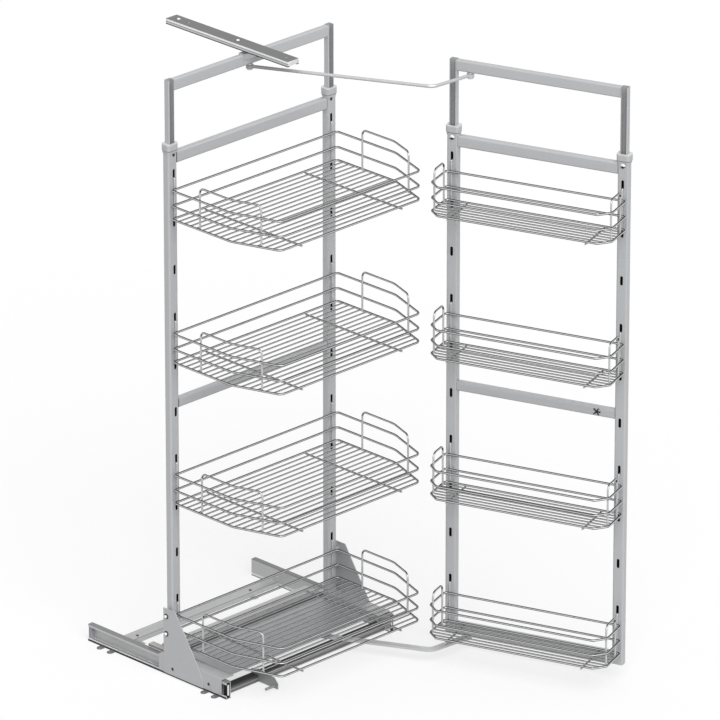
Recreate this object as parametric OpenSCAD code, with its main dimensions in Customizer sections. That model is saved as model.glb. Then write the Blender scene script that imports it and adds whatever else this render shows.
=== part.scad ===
// Pull-out pantry frame: an inner frame on floor runners carries deep wire baskets, a door frame
// carries shallow ones, and two cranked rods tie them so that the larder swings and slides open.
// Drawn fully open. Origin on the cabinet floor, in the middle of the four main floor feet.
// X runs across the cabinet, -Y points out of its front, Z is up.

/* [Inner frame] */
// Width across the two inner posts
frame_w = 511; // [470:1:560]
// Width of a post seen from the front
post_w = 26; // [24:1:32]
// Depth of a post from front to back
post_d = 19; // [18:1:24]
// Wall of the post and bar tubes
tube_t = 1.5; // [1:0.25:2]
// Outer corner radius of the tubes
tube_r = 4; // [2.25:0.25:4.5]
// Height of the upper and lower bars between the posts
bar_h = 27; // [20:1:34]
// Height of the middle bars between the posts
middle_bar_h = 22; // [18:1:30]
// Lower edge of the middle bars above the floor
middle_bar_z = 636; // [570:1:710]
// Distance from the post tops down to the upper bars
upper_bar_drop = 4; // [0:1:20]

/* [Hook slots] */
// Height of the lowest slot's centre on the inner posts
first_slot_z = 182; // [176:1:220]
// Distance between slots
slot_pitch = 112; // [100:1:125]
// Number of slots in each post
slot_count = 10; // [10:1:12]
// Width of a slot
slot_w = 6.5; // [5.5:0.5:8]
// Height of a slot
slot_h = 22; // [18:1:28]
// Distance from the top slot's centre to the top of the post
slot_head = 53; // [45:1:90]
// Offset of the inner frame's slots towards the middle
slot_inset = 2.5; // [0:0.5:3]

/* [Height extensions] */
// Width of an extension post
ext_w = 17; // [16.5:0.5:19]
// Width of the open channel in an extension post
ext_mouth = 13; // [11.5:0.5:14]
// Height of the extended top above the inner post tops
ext_rise = 164; // [130:0.5:200]
// Length of an extension post left inside its outer post
ext_grip = 150; // [100:1:200]
// Wall of a collar round its post
collar_t = 3; // [2:0.5:4]
// Height of a collar above the post
collar_h = 18; // [17:1:24]
// Height of a collar's rim
collar_rim = 16; // [8:1:16]
// Wall of the skirt below a collar's rim
skirt_t = 1.5; // [1:0.25:1.75]
// Overlap of a collar's skirt with the outside of its post
collar_skirt = 4; // [2:0.5:4]
// Diameter of the clamping screws
clamp_d = 5; // [4:0.5:5.5]
// Distance of the clamping screws below the post tops
clamp_drop = 9; // [8:1:14]

/* [Door frame] */
// Width across the two door posts
door_w = 432; // [400:1:460]
// Opening angle of the door in degrees
door_open = 110; // [100:1:115]
// Distance by which the door posts are shorter at the top
door_drop = 8.4; // [0:0.2:12]
// Height of the door frame's feet above the floor
door_foot_z = 41; // [40:1:50]
// Height of the door frame's top bar
door_top_bar_h = 26; // [22:1:34]
// Space from the inner posts to the cabinet side
cabinet_gap = 26.2; // [26:0.1:40]
// Distance of the door's hinge axis in front of the door's inner face
hinge_out = 12.5; // [5:0.5:20]
// Distance from the front of the rails to the door's inner face
door_ahead = 62; // [60:1:84]
// Diameter of the screw holes in the door posts' backs
door_screw_d = 5.2; // [4:0.2:6]
// Height of the lower door screw holes above the feet
door_screw_low = 90; // [60:1:120]
// Distance between the lower and upper door screw holes
door_screw_span = 1024; // [900:1:1060]

/* [Baskets] */
// Wire of the basket rails
wire_d = 5; // [4:0.25:6]
// Wire of the side guards
guard_d = 4.5; // [4:0.25:5.5]
// Wire of the basket floor
floor_d = 3.5; // [3:0.25:4]
// Wire under the basket floor
support_d = 4.5; // [4:0.25:5.5]
// Wire of the hooks
hook_d = 4; // [3.5:0.25:4.25]
// Height of the middle rail above the bottom rail
mid_rise = 31; // [24:1:40]
// Height of the top rail above the bottom rail
top_rise = 67; // [60:1:76]
// Height of the side guards above the top rail
guard_rise = 28; // [20:1:40]
// Distance from a slot's centre down to the top rail
hang = 34; // [30:1:37]
// Depth of the inner frame's baskets
rear_basket_d = 297; // [270:1:310]
// Narrowing of the inner baskets towards the front, each side
rear_taper_x = 39; // [25:1:60]
// Length of the narrowing front part of the inner baskets
rear_taper_y = 114; // [90:1:130]
// Spacing of the floor wires in the inner baskets
rear_pitch = 18.5; // [17:0.5:22]
// Depth of the door baskets
door_basket_d = 99; // [85:1:108]
// Cut-off of the door baskets' front corners
door_taper = 24; // [18:1:32]
// Spacing of the floor wires in the door baskets
door_pitch = 14; // [13:0.5:16]
// Distance of the support wires from the ends of the inner baskets
rear_support_in = 99; // [60:1:140]
// Distance of the support wires from the ends of the door baskets
door_support_in = 50; // [36:1:80]

/* [Steering rods] */
// Diameter of the upper rod
rod_d = 8; // [7:0.5:10]
// Width of the flat lower rod
flat_w = 17; // [16:0.5:22]
// Thickness of the flat lower rod
flat_t = 5; // [4:0.5:5.5]
// Diameter of the pivot pins
pivot_d = 8; // [6:0.5:9]
// Outside diameter of the upper rod's eyes
eye_d = 17; // [15:0.5:20]
// Widening of the flat rod round its eyes, each side
flat_rim = 1.5; // [1:0.25:3]
// Distance of the door pivot from the door frame's hinge-side edge
door_pivot_in = 52; // [48:1:60]
// Distance of the rods' bend behind the door pivot
bend_back = 73; // [60:1:90]
// Sideways throw of the rods' bend
bend_out = 79; // [65:1:85]
// Radius of the rods' bend
bend_r = 25; // [18:1:35]

/* [Floor runners] */
// Width of a floor rail
rail_w = 13; // [12.5:0.5:16]
// Height of a floor rail
rail_h = 41; // [39:1:41]
// Sheet thickness of the floor rails
rail_t = 2; // [1.5:0.25:2.5]
// Height of the rails' outer lips
rail_lip = 5; // [4:0.5:7]
// Distance of the rails' outer faces outside the posts
rail_out = 5.5; // [4:0.5:7]
// Length of a carriage
carriage_len = 199; // [191:1:219]
// Distance of the carriages' rear ends behind the posts
carriage_rear = 18; // [10:1:30]
// Sheet thickness of the carriages and gussets
plate_t = 2; // [1.5:0.25:3]
// Width of a track roller
roller_w = 6.5; // [5:0.5:7]
// Diameter of the roller axles
axle_d = 8; // [6:0.5:10]
// Distance of the rear track rollers in front of the posts' backs
roller_rear_in = 28; // [26:1:40]
// Distance between the track rollers of a carriage
roller_span = 113; // [106:1:130]
// Distance between the front and rear main floor feet
foot_span = 334; // [310:1:340]
// Distance of the second foot behind each main floor foot
foot_pair = 33; // [26:1:40]
// Diameter of the floor screw holes
foot_hole_d = 5.2; // [4:0.2:6]
// Height of the gussets above the floor
gusset_top = 162; // [158:1:166]
// Width of the gussets at the top
gusset_w = 37; // [30:1:46]
// Width of the gussets at the bottom
gusset_foot = 124; // [110:1:140]
// Diameter of the gusset screws
gusset_screw_d = 6; // [5:0.5:8]

/* [Base] */
// Height of the base pan's underside
pan_z = 39; // [38:0.5:40]
// Sheet thickness of the base pan and floor bars
pan_t = 1.5; // [1:0.25:2]
// Distance of the pan's front edge in front of the posts' backs
pan_front = 170; // [145:1:178]
// Depth of the raised channel along the pan's rear
pan_hat = 49; // [40:1:60]
// Distance of the front floor bar behind the front ends of the rails
front_bar_in = 15; // [12:1:24]
// Width of the front floor bar
front_bar_w = 23; // [18:1:28]
// Height of the front floor bar
front_bar_h = 15; // [10:1:16]
// Distance of the rear floor bar's middle from the rear ends of the rails
rear_bar_in = 70; // [62:1:80]
// Width of the rear floor bar
rear_bar_w = 36; // [28:1:44]
// Height of the rear floor bar
rear_bar_h = 10; // [7:1:13]
// Distance of the catch plate from the middle
catch_x = 146; // [120:1:170]
// Reach of the catch plate in front of the front floor bar
catch_reach = 60; // [50:1:62]
// Diameter of the catch pin
catch_pin_d = 6; // [5:0.5:8]
// Length of the catch pin
catch_pin_len = 30; // [20:1:40]

/* [Ceiling guide] */
// Width of the ceiling guide rail
guide_w = 33; // [28:1:40]
// Height of the ceiling guide rail
guide_h = 13; // [12:0.5:16]
// Sheet thickness of the ceiling guide rail
guide_t = 1.5; // [1:0.25:2]
// Width of the ceiling guide rail's inward lips
guide_lip = 5.5; // [4:0.5:7]
// Length of the ceiling guide rail in front of the posts' backs
guide_front = 145; // [60:1:160]
// Distance between the ceiling screw holes
guide_screw_span = 305; // [280:1:320]
// Diameter of the ceiling screw holes
guide_hole_d = 5.5; // [4:0.25:6.5]
// Diameter of the guide roller's stud
stud_d = 6; // [5:0.5:8]
// Length of the saddle that carries the stud on the top bar
saddle_len = 50; // [40:1:120]
// Height of the saddle's cheeks beside the top bar
saddle_drop = 12; // [8:1:22]

/* [Hidden] */
$fn = 32;

// Finishes, as the photograph shows them
painted_silver = [0.71, 0.72, 0.74];
zinc = [0.78, 0.79, 0.80];
chrome_wire = [0.66, 0.68, 0.70];
dark_sheet = [0.36, 0.38, 0.40];
grey_plastic = [0.70, 0.71, 0.72];
black_plastic = [0.05, 0.05, 0.06];
white_plastic = [0.90, 0.90, 0.89];

// Fits: free running gap, running clearance of a pin in its bore, loose hole round a screw
run_gap = 0.3;
pin_gap = 0.05;
hole_gap = 0.2;
flange_gap = 1;
cut = 1;

// Turn between the flats that make up a rounded corner of a sheet profile
arc_step = 18;

// Welds between crossing wires, and the slight swelling of a wire at its bends
weld = 0.6;
floor_weld = 0.3;
swell = 0.1;
bite = 0.3;

// Heights of the two frames
post_top = first_slot_z + (slot_count - 1) * slot_pitch + slot_head;
door_post_top = post_top - door_drop;
top_z = post_top + ext_rise;
top_bar_z = top_z - bar_h;
slots_per_basket = 3;
post_x = (frame_w - post_w) / 2;
slot_x = post_x - slot_inset;
mid_y = -post_d / 2;
bar_d = post_d - 2;
ext_gap = 0.5;
ext_d = post_d - 2 * tube_t - 2 * ext_gap;
ext_r = tube_t + 0.5;
ext_bar_d = ext_d - 1;

// Floor rails, carriages and track rollers
rail_x1 = frame_w / 2 + rail_out;
rail_x0 = rail_x1 - rail_w;
lip_t = 1.5;
plate_x = rail_x1 + 0.5;
gusset_x = plate_x + plate_t;
flange_z = rail_h + flange_gap;
deck_z = flange_z + plate_t;
flange_x0 = post_x - post_w / 2 - 4.5;
carriage_front = carriage_rear - carriage_len;
carriage_z = 5.5;
roller_d = rail_h - 2 * rail_t - 2 * run_gap;
roller_z = rail_h / 2;
roller_x = (rail_x0 + rail_t + rail_x1 - lip_t) / 2;
roller_ys = [-roller_rear_in, -roller_rear_in - roller_span];
rail_front = carriage_front - 14;
bumper_d = 6;
bumper_h = rail_h - 2 * rail_t - 12;
bumper_seat = 5;
bumper_gap = 0.25;
rivet_d = 13;
axle_socket_d = 4;
gusset_screw_zs = [gusset_top - 19, gusset_top - 61];

// Door frame: turned about the door's hinge from its closed place to its open one
hinge = [frame_w / 2 + cabinet_gap, rail_front - door_ahead - hinge_out];
closed_corner = [door_w / 2, rail_front - door_ahead];
door_turn = door_open - 180;
door_corner = hinge + turned(closed_corner - hinge, door_open);
door_along = turned([1, 0], door_turn);
door_facing = turned([0, -1], door_turn);

// Rods: pivot on the inner frame's middle, bend, pivot on the door frame
inner_pivot = [0, mid_y];
door_pivot = door_corner + door_along * door_pivot_in - door_facing * mid_y;
rod_line = unit(door_pivot - inner_pivot);
rod_bend = door_pivot - rod_line * bend_back + [rod_line.y, -rod_line.x] * bend_out;
rod_under = 3;
upper_rod_z = top_bar_z - rod_under - rod_d / 2;
flat_z = pan_z - rod_under - flat_t;
pin_head_d = 13;
pin_head_h = 3;

// Travel of the carriages until the door frame is shut
rod_span = norm(door_pivot - inner_pivot);
shut_pivot = closed_corner + [-door_pivot_in, -mid_y];
travel = sqrt(pow(rod_span, 2) - pow(shut_pivot.x, 2)) + shut_pivot.y - inner_pivot.y;
rail_rear = carriage_rear + travel + 14;

// Ceiling guide
guide_z = top_z + 3.5;
guide_rear = travel + 20;
guide_roller_d = guide_w - 2 * guide_t - 2 * run_gap;
guide_roller_h = guide_h - 2 * guide_t - 2;
guide_roller_z = guide_z + guide_t + 0.5;
saddle_t = 1.5;

// Baskets
hook_r = 3.2;
hook_y = -post_d - run_gap - hook_d / 2;
hook_in_y = hook_y + 2 * hook_r + 0.2;
hook_leg = 8;
hook_z = run_gap + (hook_d - slot_h) / 2;
basket_rear = hook_y - (hook_d + wire_d) / 2 + weld;
basket_base = -hang - top_rise;
basket_side_gap = 3.5;
door_basket_gap = 2;
rear_corner_r = 8;
guard_corner_r = 12;
rear_guard_depths = [4.5 * rear_pitch, 13.5 * rear_pitch];
door_guard_depths = [1.5 * door_pitch, door_basket_d - door_taper - guard_d];

function turned(v, a) = [v.x * cos(a) - v.y * sin(a), v.x * sin(a) + v.y * cos(a)];
function unit(v) = v / norm(v);
function turn_between(a, b) = acos(max(-1, min(1, a * b)));
function slot_z(i) = first_slot_z + (slot_count - 1 - i) * slot_pitch;

// Flat outlines

function arc(x, y, r, from, to) = [for (a = [from : arc_step : to]) [x + r * cos(a), y + r * sin(a)]];

module rounded(w, h, r) {
    x = w / 2 - r;
    y = h / 2 - r;
    polygon(concat(arc(x, y, r, 0, 90), arc(-x, y, r, 90, 180),
                   arc(-x, -y, r, 180, 270), arc(x, -y, r, 270, 360)));
}

module tube_outline(w, h, t, r) {
    difference() {
        rounded(w, h, r);
        rounded(w - 2 * t, h - 2 * t, r - t);
    }
}

module slot_outline(w, h) {
    y = (h - w) / 2;
    polygon(concat(arc(0, y, w / 2, 0, 180), arc(0, -y, w / 2, 180, 360)));
}

// Extrusions along the part's axes

module along_x(length) {
    rotate([90, 0, 90]) linear_extrude(length, center = true) children();
}

module along_y(y0, y1) {
    translate([0, y1, 0]) rotate([90, 0, 0]) linear_extrude(y1 - y0) children();
}

module bore_y(d, y0, y1) {
    translate([0, y1, 0]) rotate([90, 0, 0]) cylinder(h = y1 - y0, d = d);
}

module bore_x(d, x0, x1) {
    translate([x0, 0, 0]) rotate([0, 90, 0]) cylinder(h = x1 - x0, d = d);
}

module left_side() {
    mirror([1, 0, 0]) children();
}

module on_door() {
    translate([door_corner.x, door_corner.y, 0]) rotate([0, 0, door_turn]) children();
}

// One wire bent along a path of corners, each with its own radius

module bent_wire(path, radii, d, closed = false) {
    n = len(path);
    function at(i) = path[(i + n) % n];
    function heading(i) = unit(at(i + 1) - at(i));
    function is_end(i) = !closed && (i % n == 0 || i % n == n - 1);
    function setback(i) = is_end(i) ? 0 : radii[i % n] * tan(turn_between(heading(i - 1), heading(i)) / 2);
    function trim(i) = is_end(i) ? 0 : setback(i) - bite;
    for (i = [0 : n - (closed ? 1 : 2)]) {
        from = at(i) + heading(i) * trim(i);
        run = at(i + 1) - heading(i) * trim(i + 1) - from;
        translate(from)
            rotate([0, acos(run.z / norm(run)), atan2(run.y, run.x)])
                cylinder(h = norm(run), d = d);
    }
    for (i = [0 : n - 1]) if (!is_end(i)) {
        into = heading(i - 1);
        axis = unit(cross(into, heading(i)));
        start = at(i) - into * setback(i);
        centre = start + cross(axis, into) * radii[i];
        spoke = unit(start - centre);
        multmatrix([[spoke.x, into.x, axis.x, centre.x],
                    [spoke.y, into.y, axis.y, centre.y],
                    [spoke.z, into.z, axis.z, centre.z],
                    [0, 0, 0, 1]])
            rotate_extrude(angle = turn_between(into, heading(i)))
                translate([radii[i], 0]) circle(d = d + swell);
    }
}

// Welded wire basket: three rails round a tapered outline, floor wires on two supports, a raised
// guard round each side and two hooks. Height zero is the centre of the slot that it hangs in.

module wire_basket(width, depth, taper, pitch, guard_depths, support_in, side_r, front_r, hook_x) {
    edge = width / 2;
    front = basket_rear - depth;
    shoulder = front + taper.y;
    outline = [[-edge, basket_rear], [edge, basket_rear], [edge, shoulder], [edge - taper.x, front],
               [taper.x - edge, front], [-edge, shoulder]];
    radii = [rear_corner_r, rear_corner_r, side_r, front_r, front_r, side_r];
    for (rise = [0, mid_rise, top_rise])
        bent_wire([for (p = outline) [p.x, p.y, basket_base + rise]], radii, wire_d, true);

    support_z = basket_base - (wire_d + support_d) / 2 + weld;
    floor_z = support_z + (support_d + floor_d) / 2 - floor_weld;
    function reach(y) = y > shoulder ? edge : edge - (shoulder - y) / taper.y * taper.x;
    for (i = [1 : floor(depth / pitch - 0.4)]) {
        y = basket_rear - i * pitch;
        bent_wire([[-reach(y), y, floor_z], [reach(y), y, floor_z]], [], floor_d);
    }
    for (s = [-1, 1])
        bent_wire([[s * (edge - support_in), basket_rear - wire_d / 4, support_z],
                   [s * (edge - support_in), front - wire_d, support_z]], [], support_d);

    inset = (wire_d + guard_d) / 2 - weld;
    slope = unit([-taper.x, -taper.y]);
    inward = [slope.y, -slope.x];
    corner = [edge, shoulder] + inset * ([-1, 0] + inward) / (1 - inward.x);
    guard_start = basket_rear - guard_depths[0];
    guard_end = basket_rear - guard_depths[1];
    bent = guard_end < shoulder;
    tip_x = bent ? corner.x + slope.x * (corner.y - guard_end) / -slope.y : corner.x;
    guard_top = basket_base + top_rise + guard_rise;
    foot = basket_base - wire_d / 4;
    knee = bent ? [[corner.x, corner.y, guard_top]] : [];
    guard = concat([[corner.x, guard_start, foot], [corner.x, guard_start, guard_top]], knee,
                   [[tip_x, guard_end, guard_top], [tip_x, guard_end, foot]]);
    guard_radii = concat([0, guard_corner_r], [for (p = knee) side_r], [guard_corner_r, 0]);
    for (s = [-1, 1]) {
        bent_wire([for (p = guard) [s * p.x, p.y, p.z]], guard_radii, guard_d);
        bent_wire([[s * hook_x, hook_y, foot], [s * hook_x, hook_y, hook_z],
                   [s * hook_x, hook_in_y, hook_z], [s * hook_x, hook_in_y, hook_z - hook_leg]],
                  [0, hook_r, hook_r, 0], hook_d);
    }
}

module rear_basket(i) {
    color(chrome_wire) translate([0, 0, slot_z(i * slots_per_basket)])
        wire_basket(frame_w - 2 * basket_side_gap, rear_basket_d, [rear_taper_x, rear_taper_y],
                    rear_pitch, rear_guard_depths, rear_support_in, 60, 15, slot_x);
}

module door_basket(i) {
    color(chrome_wire) on_door() translate([door_w / 2, 0, slot_z(i * slots_per_basket) - door_drop])
        wire_basket(door_w - 2 * door_basket_gap, door_basket_d, [door_taper, door_taper],
                    door_pitch, door_guard_depths, door_support_in, 10, 10, (door_w - post_w) / 2);
}

// Posts, bars, collars and extensions, each drawn about its own centre line

module slotted_post(bottom, top, first, slot_offset) {
    difference() {
        translate([0, mid_y, bottom]) linear_extrude(top - bottom)
            tube_outline(post_w, post_d, tube_t, tube_r);
        for (i = [0 : slot_count - 1])
            translate([slot_offset, 0, first - i * slot_pitch])
                along_y(-post_d - cut, -post_d + tube_t + cut) slot_outline(slot_w, slot_h);
        translate([slot_offset, 0, top - clamp_drop])
            bore_y(clamp_d + 2 * pin_gap, -post_d - cut, -post_d + tube_t + cut);
    }
}

module inner_post() {
    difference() {
        translate([post_x, 0, 0]) slotted_post(deck_z, post_top, slot_z(0), -slot_inset);
        for (z = gusset_screw_zs)
            translate([0, mid_y, z])
                bore_x(gusset_screw_d + 2 * pin_gap, frame_w / 2 - tube_t - cut, frame_w / 2 + cut);
    }
}

module door_post() {
    difference() {
        slotted_post(door_foot_z, door_post_top, slot_z(0) - door_drop, 0);
        for (z = [0, door_screw_span])
            translate([0, 0, door_foot_z + door_screw_low + z])
                bore_y(door_screw_d, -tube_t - cut, cut);
    }
}

module crossbar(length, z, h) {
    translate([0, mid_y, z + h / 2]) along_x(length) tube_outline(bar_d, h, tube_t, tube_r);
}

module collar(top) {
    difference() {
        union() {
            translate([0, mid_y, top - collar_skirt]) linear_extrude(collar_skirt + collar_h)
                rounded(post_w + 2 * skirt_t, post_d + 2 * skirt_t, tube_r + skirt_t);
            translate([0, mid_y, top + collar_h - collar_rim]) linear_extrude(collar_rim)
                rounded(post_w + 2 * collar_t, post_d + 2 * collar_t, tube_r + collar_t);
        }
        translate([0, mid_y, top - collar_skirt - cut]) linear_extrude(collar_skirt + cut)
            rounded(post_w + 2 * pin_gap, post_d + 2 * pin_gap, tube_r + pin_gap);
        translate([0, mid_y, top - cut]) linear_extrude(collar_h + 2 * cut)
            square([ext_w + 2 * run_gap, ext_d + 2 * run_gap], center = true);
    }
}

module clamp_screw(x, z) {
    translate([x, 0, z]) difference() {
        bore_y(clamp_d, -post_d, mid_y + ext_d / 2 - tube_t - run_gap);
        along_y(-post_d - cut, -post_d + clamp_d / 2) circle(d = clamp_d / 2, $fn = 6);
    }
}

module extension(bottom, top) {
    translate([0, mid_y, bottom]) linear_extrude(top - bottom) difference() {
        tube_outline(ext_w, ext_d, tube_t, ext_r);
        translate([-ext_mouth / 2, -ext_d]) square([ext_mouth, ext_d]);
    }
}

module pivot_pin(at, seat, eye_top, eye_bottom) {
    translate([at.x, at.y, 0]) {
        translate([0, 0, eye_top + run_gap]) cylinder(h = seat - eye_top - run_gap, d = pin_head_d);
        translate([0, 0, eye_bottom - run_gap - cut])
            cylinder(h = seat - eye_bottom + run_gap, d = pivot_d);
        translate([0, 0, eye_bottom - run_gap - pin_head_h]) cylinder(h = pin_head_h, d = pin_head_d);
    }
}

// Cabinet side: floor rails, floor bars, catch and ceiling guide

module floor_rail() {
    lug_r = 7;
    lug_x = rail_x1 + 11;
    lug_ys = [for (s = [-1, 1], p = [0, 1]) s * foot_span / 2 + p * foot_pair];
    difference() {
        union() {
            along_y(rail_front, rail_rear) difference() {
                translate([rail_x0, 0]) square([rail_w, rail_h]);
                translate([rail_x0 + rail_t, rail_t])
                    square([rail_w - rail_t - lip_t, rail_h - 2 * rail_t]);
                translate([rail_x1 - lip_t - cut, rail_t + rail_lip])
                    square([lip_t + 2 * cut, rail_h - 2 * (rail_t + rail_lip)]);
            }
            for (y = lug_ys) {
                translate([rail_x1 - rail_t, y - lug_r, 0])
                    cube([lug_x - rail_x1 + rail_t, 2 * lug_r, rail_t]);
                translate([lug_x, y, 0]) cylinder(h = rail_t, r = lug_r);
            }
        }
        for (y = lug_ys)
            translate([lug_x, y, -cut]) cylinder(h = rail_t + 2 * cut, d = foot_hole_d);
        translate([0, foot_span / 2, rail_h / 2])
            bore_x(foot_hole_d, rail_x0 - cut, rail_x0 + rail_t + cut);
        translate([rail_x0, carriage_rear - 6, rail_h / 2]) rotate([0, 90, 0])
            translate([0, 0, -cut]) linear_extrude(rail_t + 2 * cut) slot_outline(5, 12);
    }
}

module floor_rail_left() {
    color(zinc) left_side() floor_rail();
}

module floor_rail_right() {
    color(zinc) floor_rail();
}

module rail_strips() {
    strip = [1.2, rail_rear - rail_front, 2.4];
    color(black_plastic) for (s = [0, 1]) mirror([s, 0, 0])
        translate([rail_x1, rail_front, rail_t]) cube(strip);
}

module rail_end_blocks() {
    block_w = rail_w - rail_t - lip_t - 2 * pin_gap;
    block_h = rail_h - 2 * rail_t - 2 * pin_gap;
    color(black_plastic) for (s = [0, 1]) mirror([s, 0, 0]) {
        translate([rail_x0 + rail_t + pin_gap + block_w / 2, 0, rail_h / 2]) difference() {
            along_y(rail_front, rail_front + 9) rounded(block_w, block_h, 3);
            along_y(rail_front - cut, rail_front + bumper_seat)
                rounded(bumper_d + 2 * bumper_gap, bumper_h + 4 * bumper_gap, bumper_gap);
        }
        translate([rail_x0 + rail_t + pin_gap + block_w / 2, 0, rail_h / 2])
            along_y(rail_rear - 8, rail_rear) rounded(block_w, block_h, 3);
    }
}

module rail_bumpers() {
    seat_y = rail_front + bumper_seat - bumper_d / 2 - pin_gap;
    color(white_plastic) for (s = [0, 1]) mirror([s, 0, 0])
        translate([roller_x, seat_y, (rail_h - bumper_h) / 2]) cylinder(h = bumper_h, d = bumper_d);
}

module front_floor_bar() {
    ridge = 3;
    color(dark_sheet) translate([0, catch_y + front_bar_w, 0]) along_x(2 * rail_x0) difference() {
        translate([-front_bar_w, rail_t]) square([front_bar_w, front_bar_h]);
        translate([pan_t - front_bar_w, rail_t - cut])
            square([front_bar_w - 2 * pan_t, front_bar_h - pan_t + cut]);
        translate([-front_bar_w + ridge, rail_t + front_bar_h - pan_t / 2]) square([ridge, pan_t]);
    }
}

module rear_floor_bar() {
    rib_w = rear_bar_w / 3;
    rib_drop = 3;
    color(painted_silver) translate([0, rail_rear - rear_bar_in, 0]) along_x(2 * rail_x0)
        polygon([[-rear_bar_w / 2, 0], [-rear_bar_w / 2, rear_bar_h], [-rib_w / 2 - rib_drop, rear_bar_h],
                 [-rib_w / 2, rear_bar_h - rib_drop], [rib_w / 2, rear_bar_h - rib_drop],
                 [rib_w / 2 + rib_drop, rear_bar_h], [rear_bar_w / 2, rear_bar_h], [rear_bar_w / 2, 0],
                 [rear_bar_w / 2 - pan_t, 0], [rear_bar_w / 2 - pan_t, rear_bar_h - pan_t],
                 [rib_w / 2 + rib_drop + pan_t / 2, rear_bar_h - pan_t],
                 [rib_w / 2 + pan_t / 2, rear_bar_h - rib_drop - pan_t],
                 [-rib_w / 2 - pan_t / 2, rear_bar_h - rib_drop - pan_t],
                 [-rib_w / 2 - rib_drop - pan_t / 2, rear_bar_h - pan_t],
                 [pan_t - rear_bar_w / 2, rear_bar_h - pan_t], [pan_t - rear_bar_w / 2, 0]]);
}

catch_t = 2.5;
catch_y = rail_front + front_bar_in;
catch_top = rail_t + front_bar_h + 10;

module catch_plate() {
    bar_top = rail_t + front_bar_h;
    nose = 12;
    color(zinc) translate([-catch_x, 0, 0]) difference() {
        union() {
            along_x(catch_t)
                polygon([[catch_y + front_bar_w, bar_top], [catch_y, bar_top], [catch_y, rail_t],
                         [catch_y - catch_reach, rail_t], [catch_y - catch_reach, catch_top - nose],
                         [catch_y - catch_reach + nose, catch_top], [catch_y + front_bar_w, catch_top]]);
            translate([0, catch_y, bar_top]) cube([20, front_bar_w, catch_t]);
        }
        translate([0, catch_y - catch_reach + 8, rail_t + 7])
            bore_x(catch_pin_d, -catch_t, catch_t);
    }
}

module catch_pin() {
    color(zinc) translate([-catch_x, catch_y - catch_reach + 8, rail_t + 7])
        bore_x(catch_pin_d, -catch_pin_len, catch_t / 2 + cut);
}

module ceiling_guide_rail() {
    screw_y = guide_rear - 56;
    color(dark_sheet) difference() {
        along_y(-guide_front, guide_rear) difference() {
            translate([-guide_w / 2, guide_z]) square([guide_w, guide_h]);
            translate([guide_t - guide_w / 2, guide_z + guide_t])
                square([guide_w - 2 * guide_t, guide_h - 2 * guide_t]);
            translate([guide_lip - guide_w / 2, guide_z - cut])
                square([guide_w - 2 * guide_lip, guide_t + 2 * cut]);
        }
        for (y = [screw_y, screw_y - guide_screw_span])
            translate([0, y, guide_z + 2 * guide_t]) cylinder(h = guide_h, d = guide_hole_d);
        translate([0, guide_rear - 22, guide_z + 2 * guide_t]) cylinder(h = guide_h, d = 9);
        translate([0, screw_y - guide_screw_span / 2, guide_z + 2 * guide_t])
            linear_extrude(guide_h) slot_outline(guide_hole_d, 16);
    }
}

// Inner frame: carriages on the rails, base pan, gussets, posts and bars

module carriage() {
    difference() {
        along_y(carriage_front, carriage_rear)
            polygon([[flange_x0, flange_z], [plate_x, flange_z], [plate_x, carriage_z],
                     [gusset_x, carriage_z], [gusset_x, deck_z], [flange_x0, deck_z]]);
        for (y = roller_ys)
            translate([0, y, roller_z]) bore_x(axle_d + 2 * pin_gap, plate_x - cut, gusset_x + cut);
    }
}

module carriage_left() {
    color(painted_silver) left_side() carriage();
}

module carriage_right() {
    color(painted_silver) carriage();
}

module base_pan() {
    wall_x = flange_x0 - 1.5;
    lip_x = post_x - post_w / 2 - 1;
    step_z = deck_z + pan_t;
    color(dark_sheet) {
        along_x(2 * wall_x)
            polygon([[-pan_front, pan_z], [0, pan_z], [0, step_z - pan_t], [pan_hat - pan_t, step_z - pan_t],
                     [pan_hat - pan_t, pan_z], [pan_hat, pan_z], [pan_hat, step_z], [-pan_t, step_z],
                     [-pan_t, pan_z + pan_t], [-pan_front, pan_z + pan_t]]);
        for (s = [0, 1]) mirror([s, 0, 0]) {
            translate([wall_x - pan_t, -pan_front, pan_z]) cube([pan_t, pan_front, step_z - pan_z]);
            translate([wall_x - pan_t, -pan_front, deck_z]) cube([lip_x - wall_x + pan_t, pan_front, pan_t]);
        }
    }
}

module gusset() {
    difference() {
        translate([gusset_x + plate_t / 2, 0, 0]) along_x(plate_t)
            polygon([[0, carriage_z], [0, gusset_top], [-gusset_w, gusset_top],
                     [9 - gusset_foot, deck_z], [-gusset_foot, roller_z], [-gusset_foot, carriage_z]]);
        for (z = gusset_screw_zs)
            translate([0, mid_y, z])
                bore_x(gusset_screw_d + 2 * pin_gap, gusset_x - cut, gusset_x + plate_t + cut);
        translate([0, roller_ys[0], roller_z])
            bore_x(axle_d + 2 * pin_gap, gusset_x - cut, gusset_x + plate_t + cut);
    }
}

module gusset_left() {
    color(painted_silver) left_side() gusset();
}

module gusset_right() {
    color(painted_silver) gusset();
}

module gusset_spacers() {
    color(zinc) for (s = [0, 1], z = gusset_screw_zs) mirror([s, 0, 0])
        translate([0, mid_y, z]) difference() {
            bore_x(gusset_screw_d + 8, frame_w / 2, gusset_x);
            bore_x(gusset_screw_d + 2 * hole_gap, frame_w / 2 - cut, gusset_x + cut);
        }
}

module gusset_screws() {
    outer = gusset_x + plate_t;
    head_d = gusset_screw_d + 5;
    color(zinc) for (s = [0, 1], z = gusset_screw_zs) mirror([s, 0, 0]) translate([0, mid_y, z]) {
        bore_x(gusset_screw_d, frame_w / 2 - tube_t - 4, outer + cut);
        bore_x(head_d, outer, outer + 3);
    }
}

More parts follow.
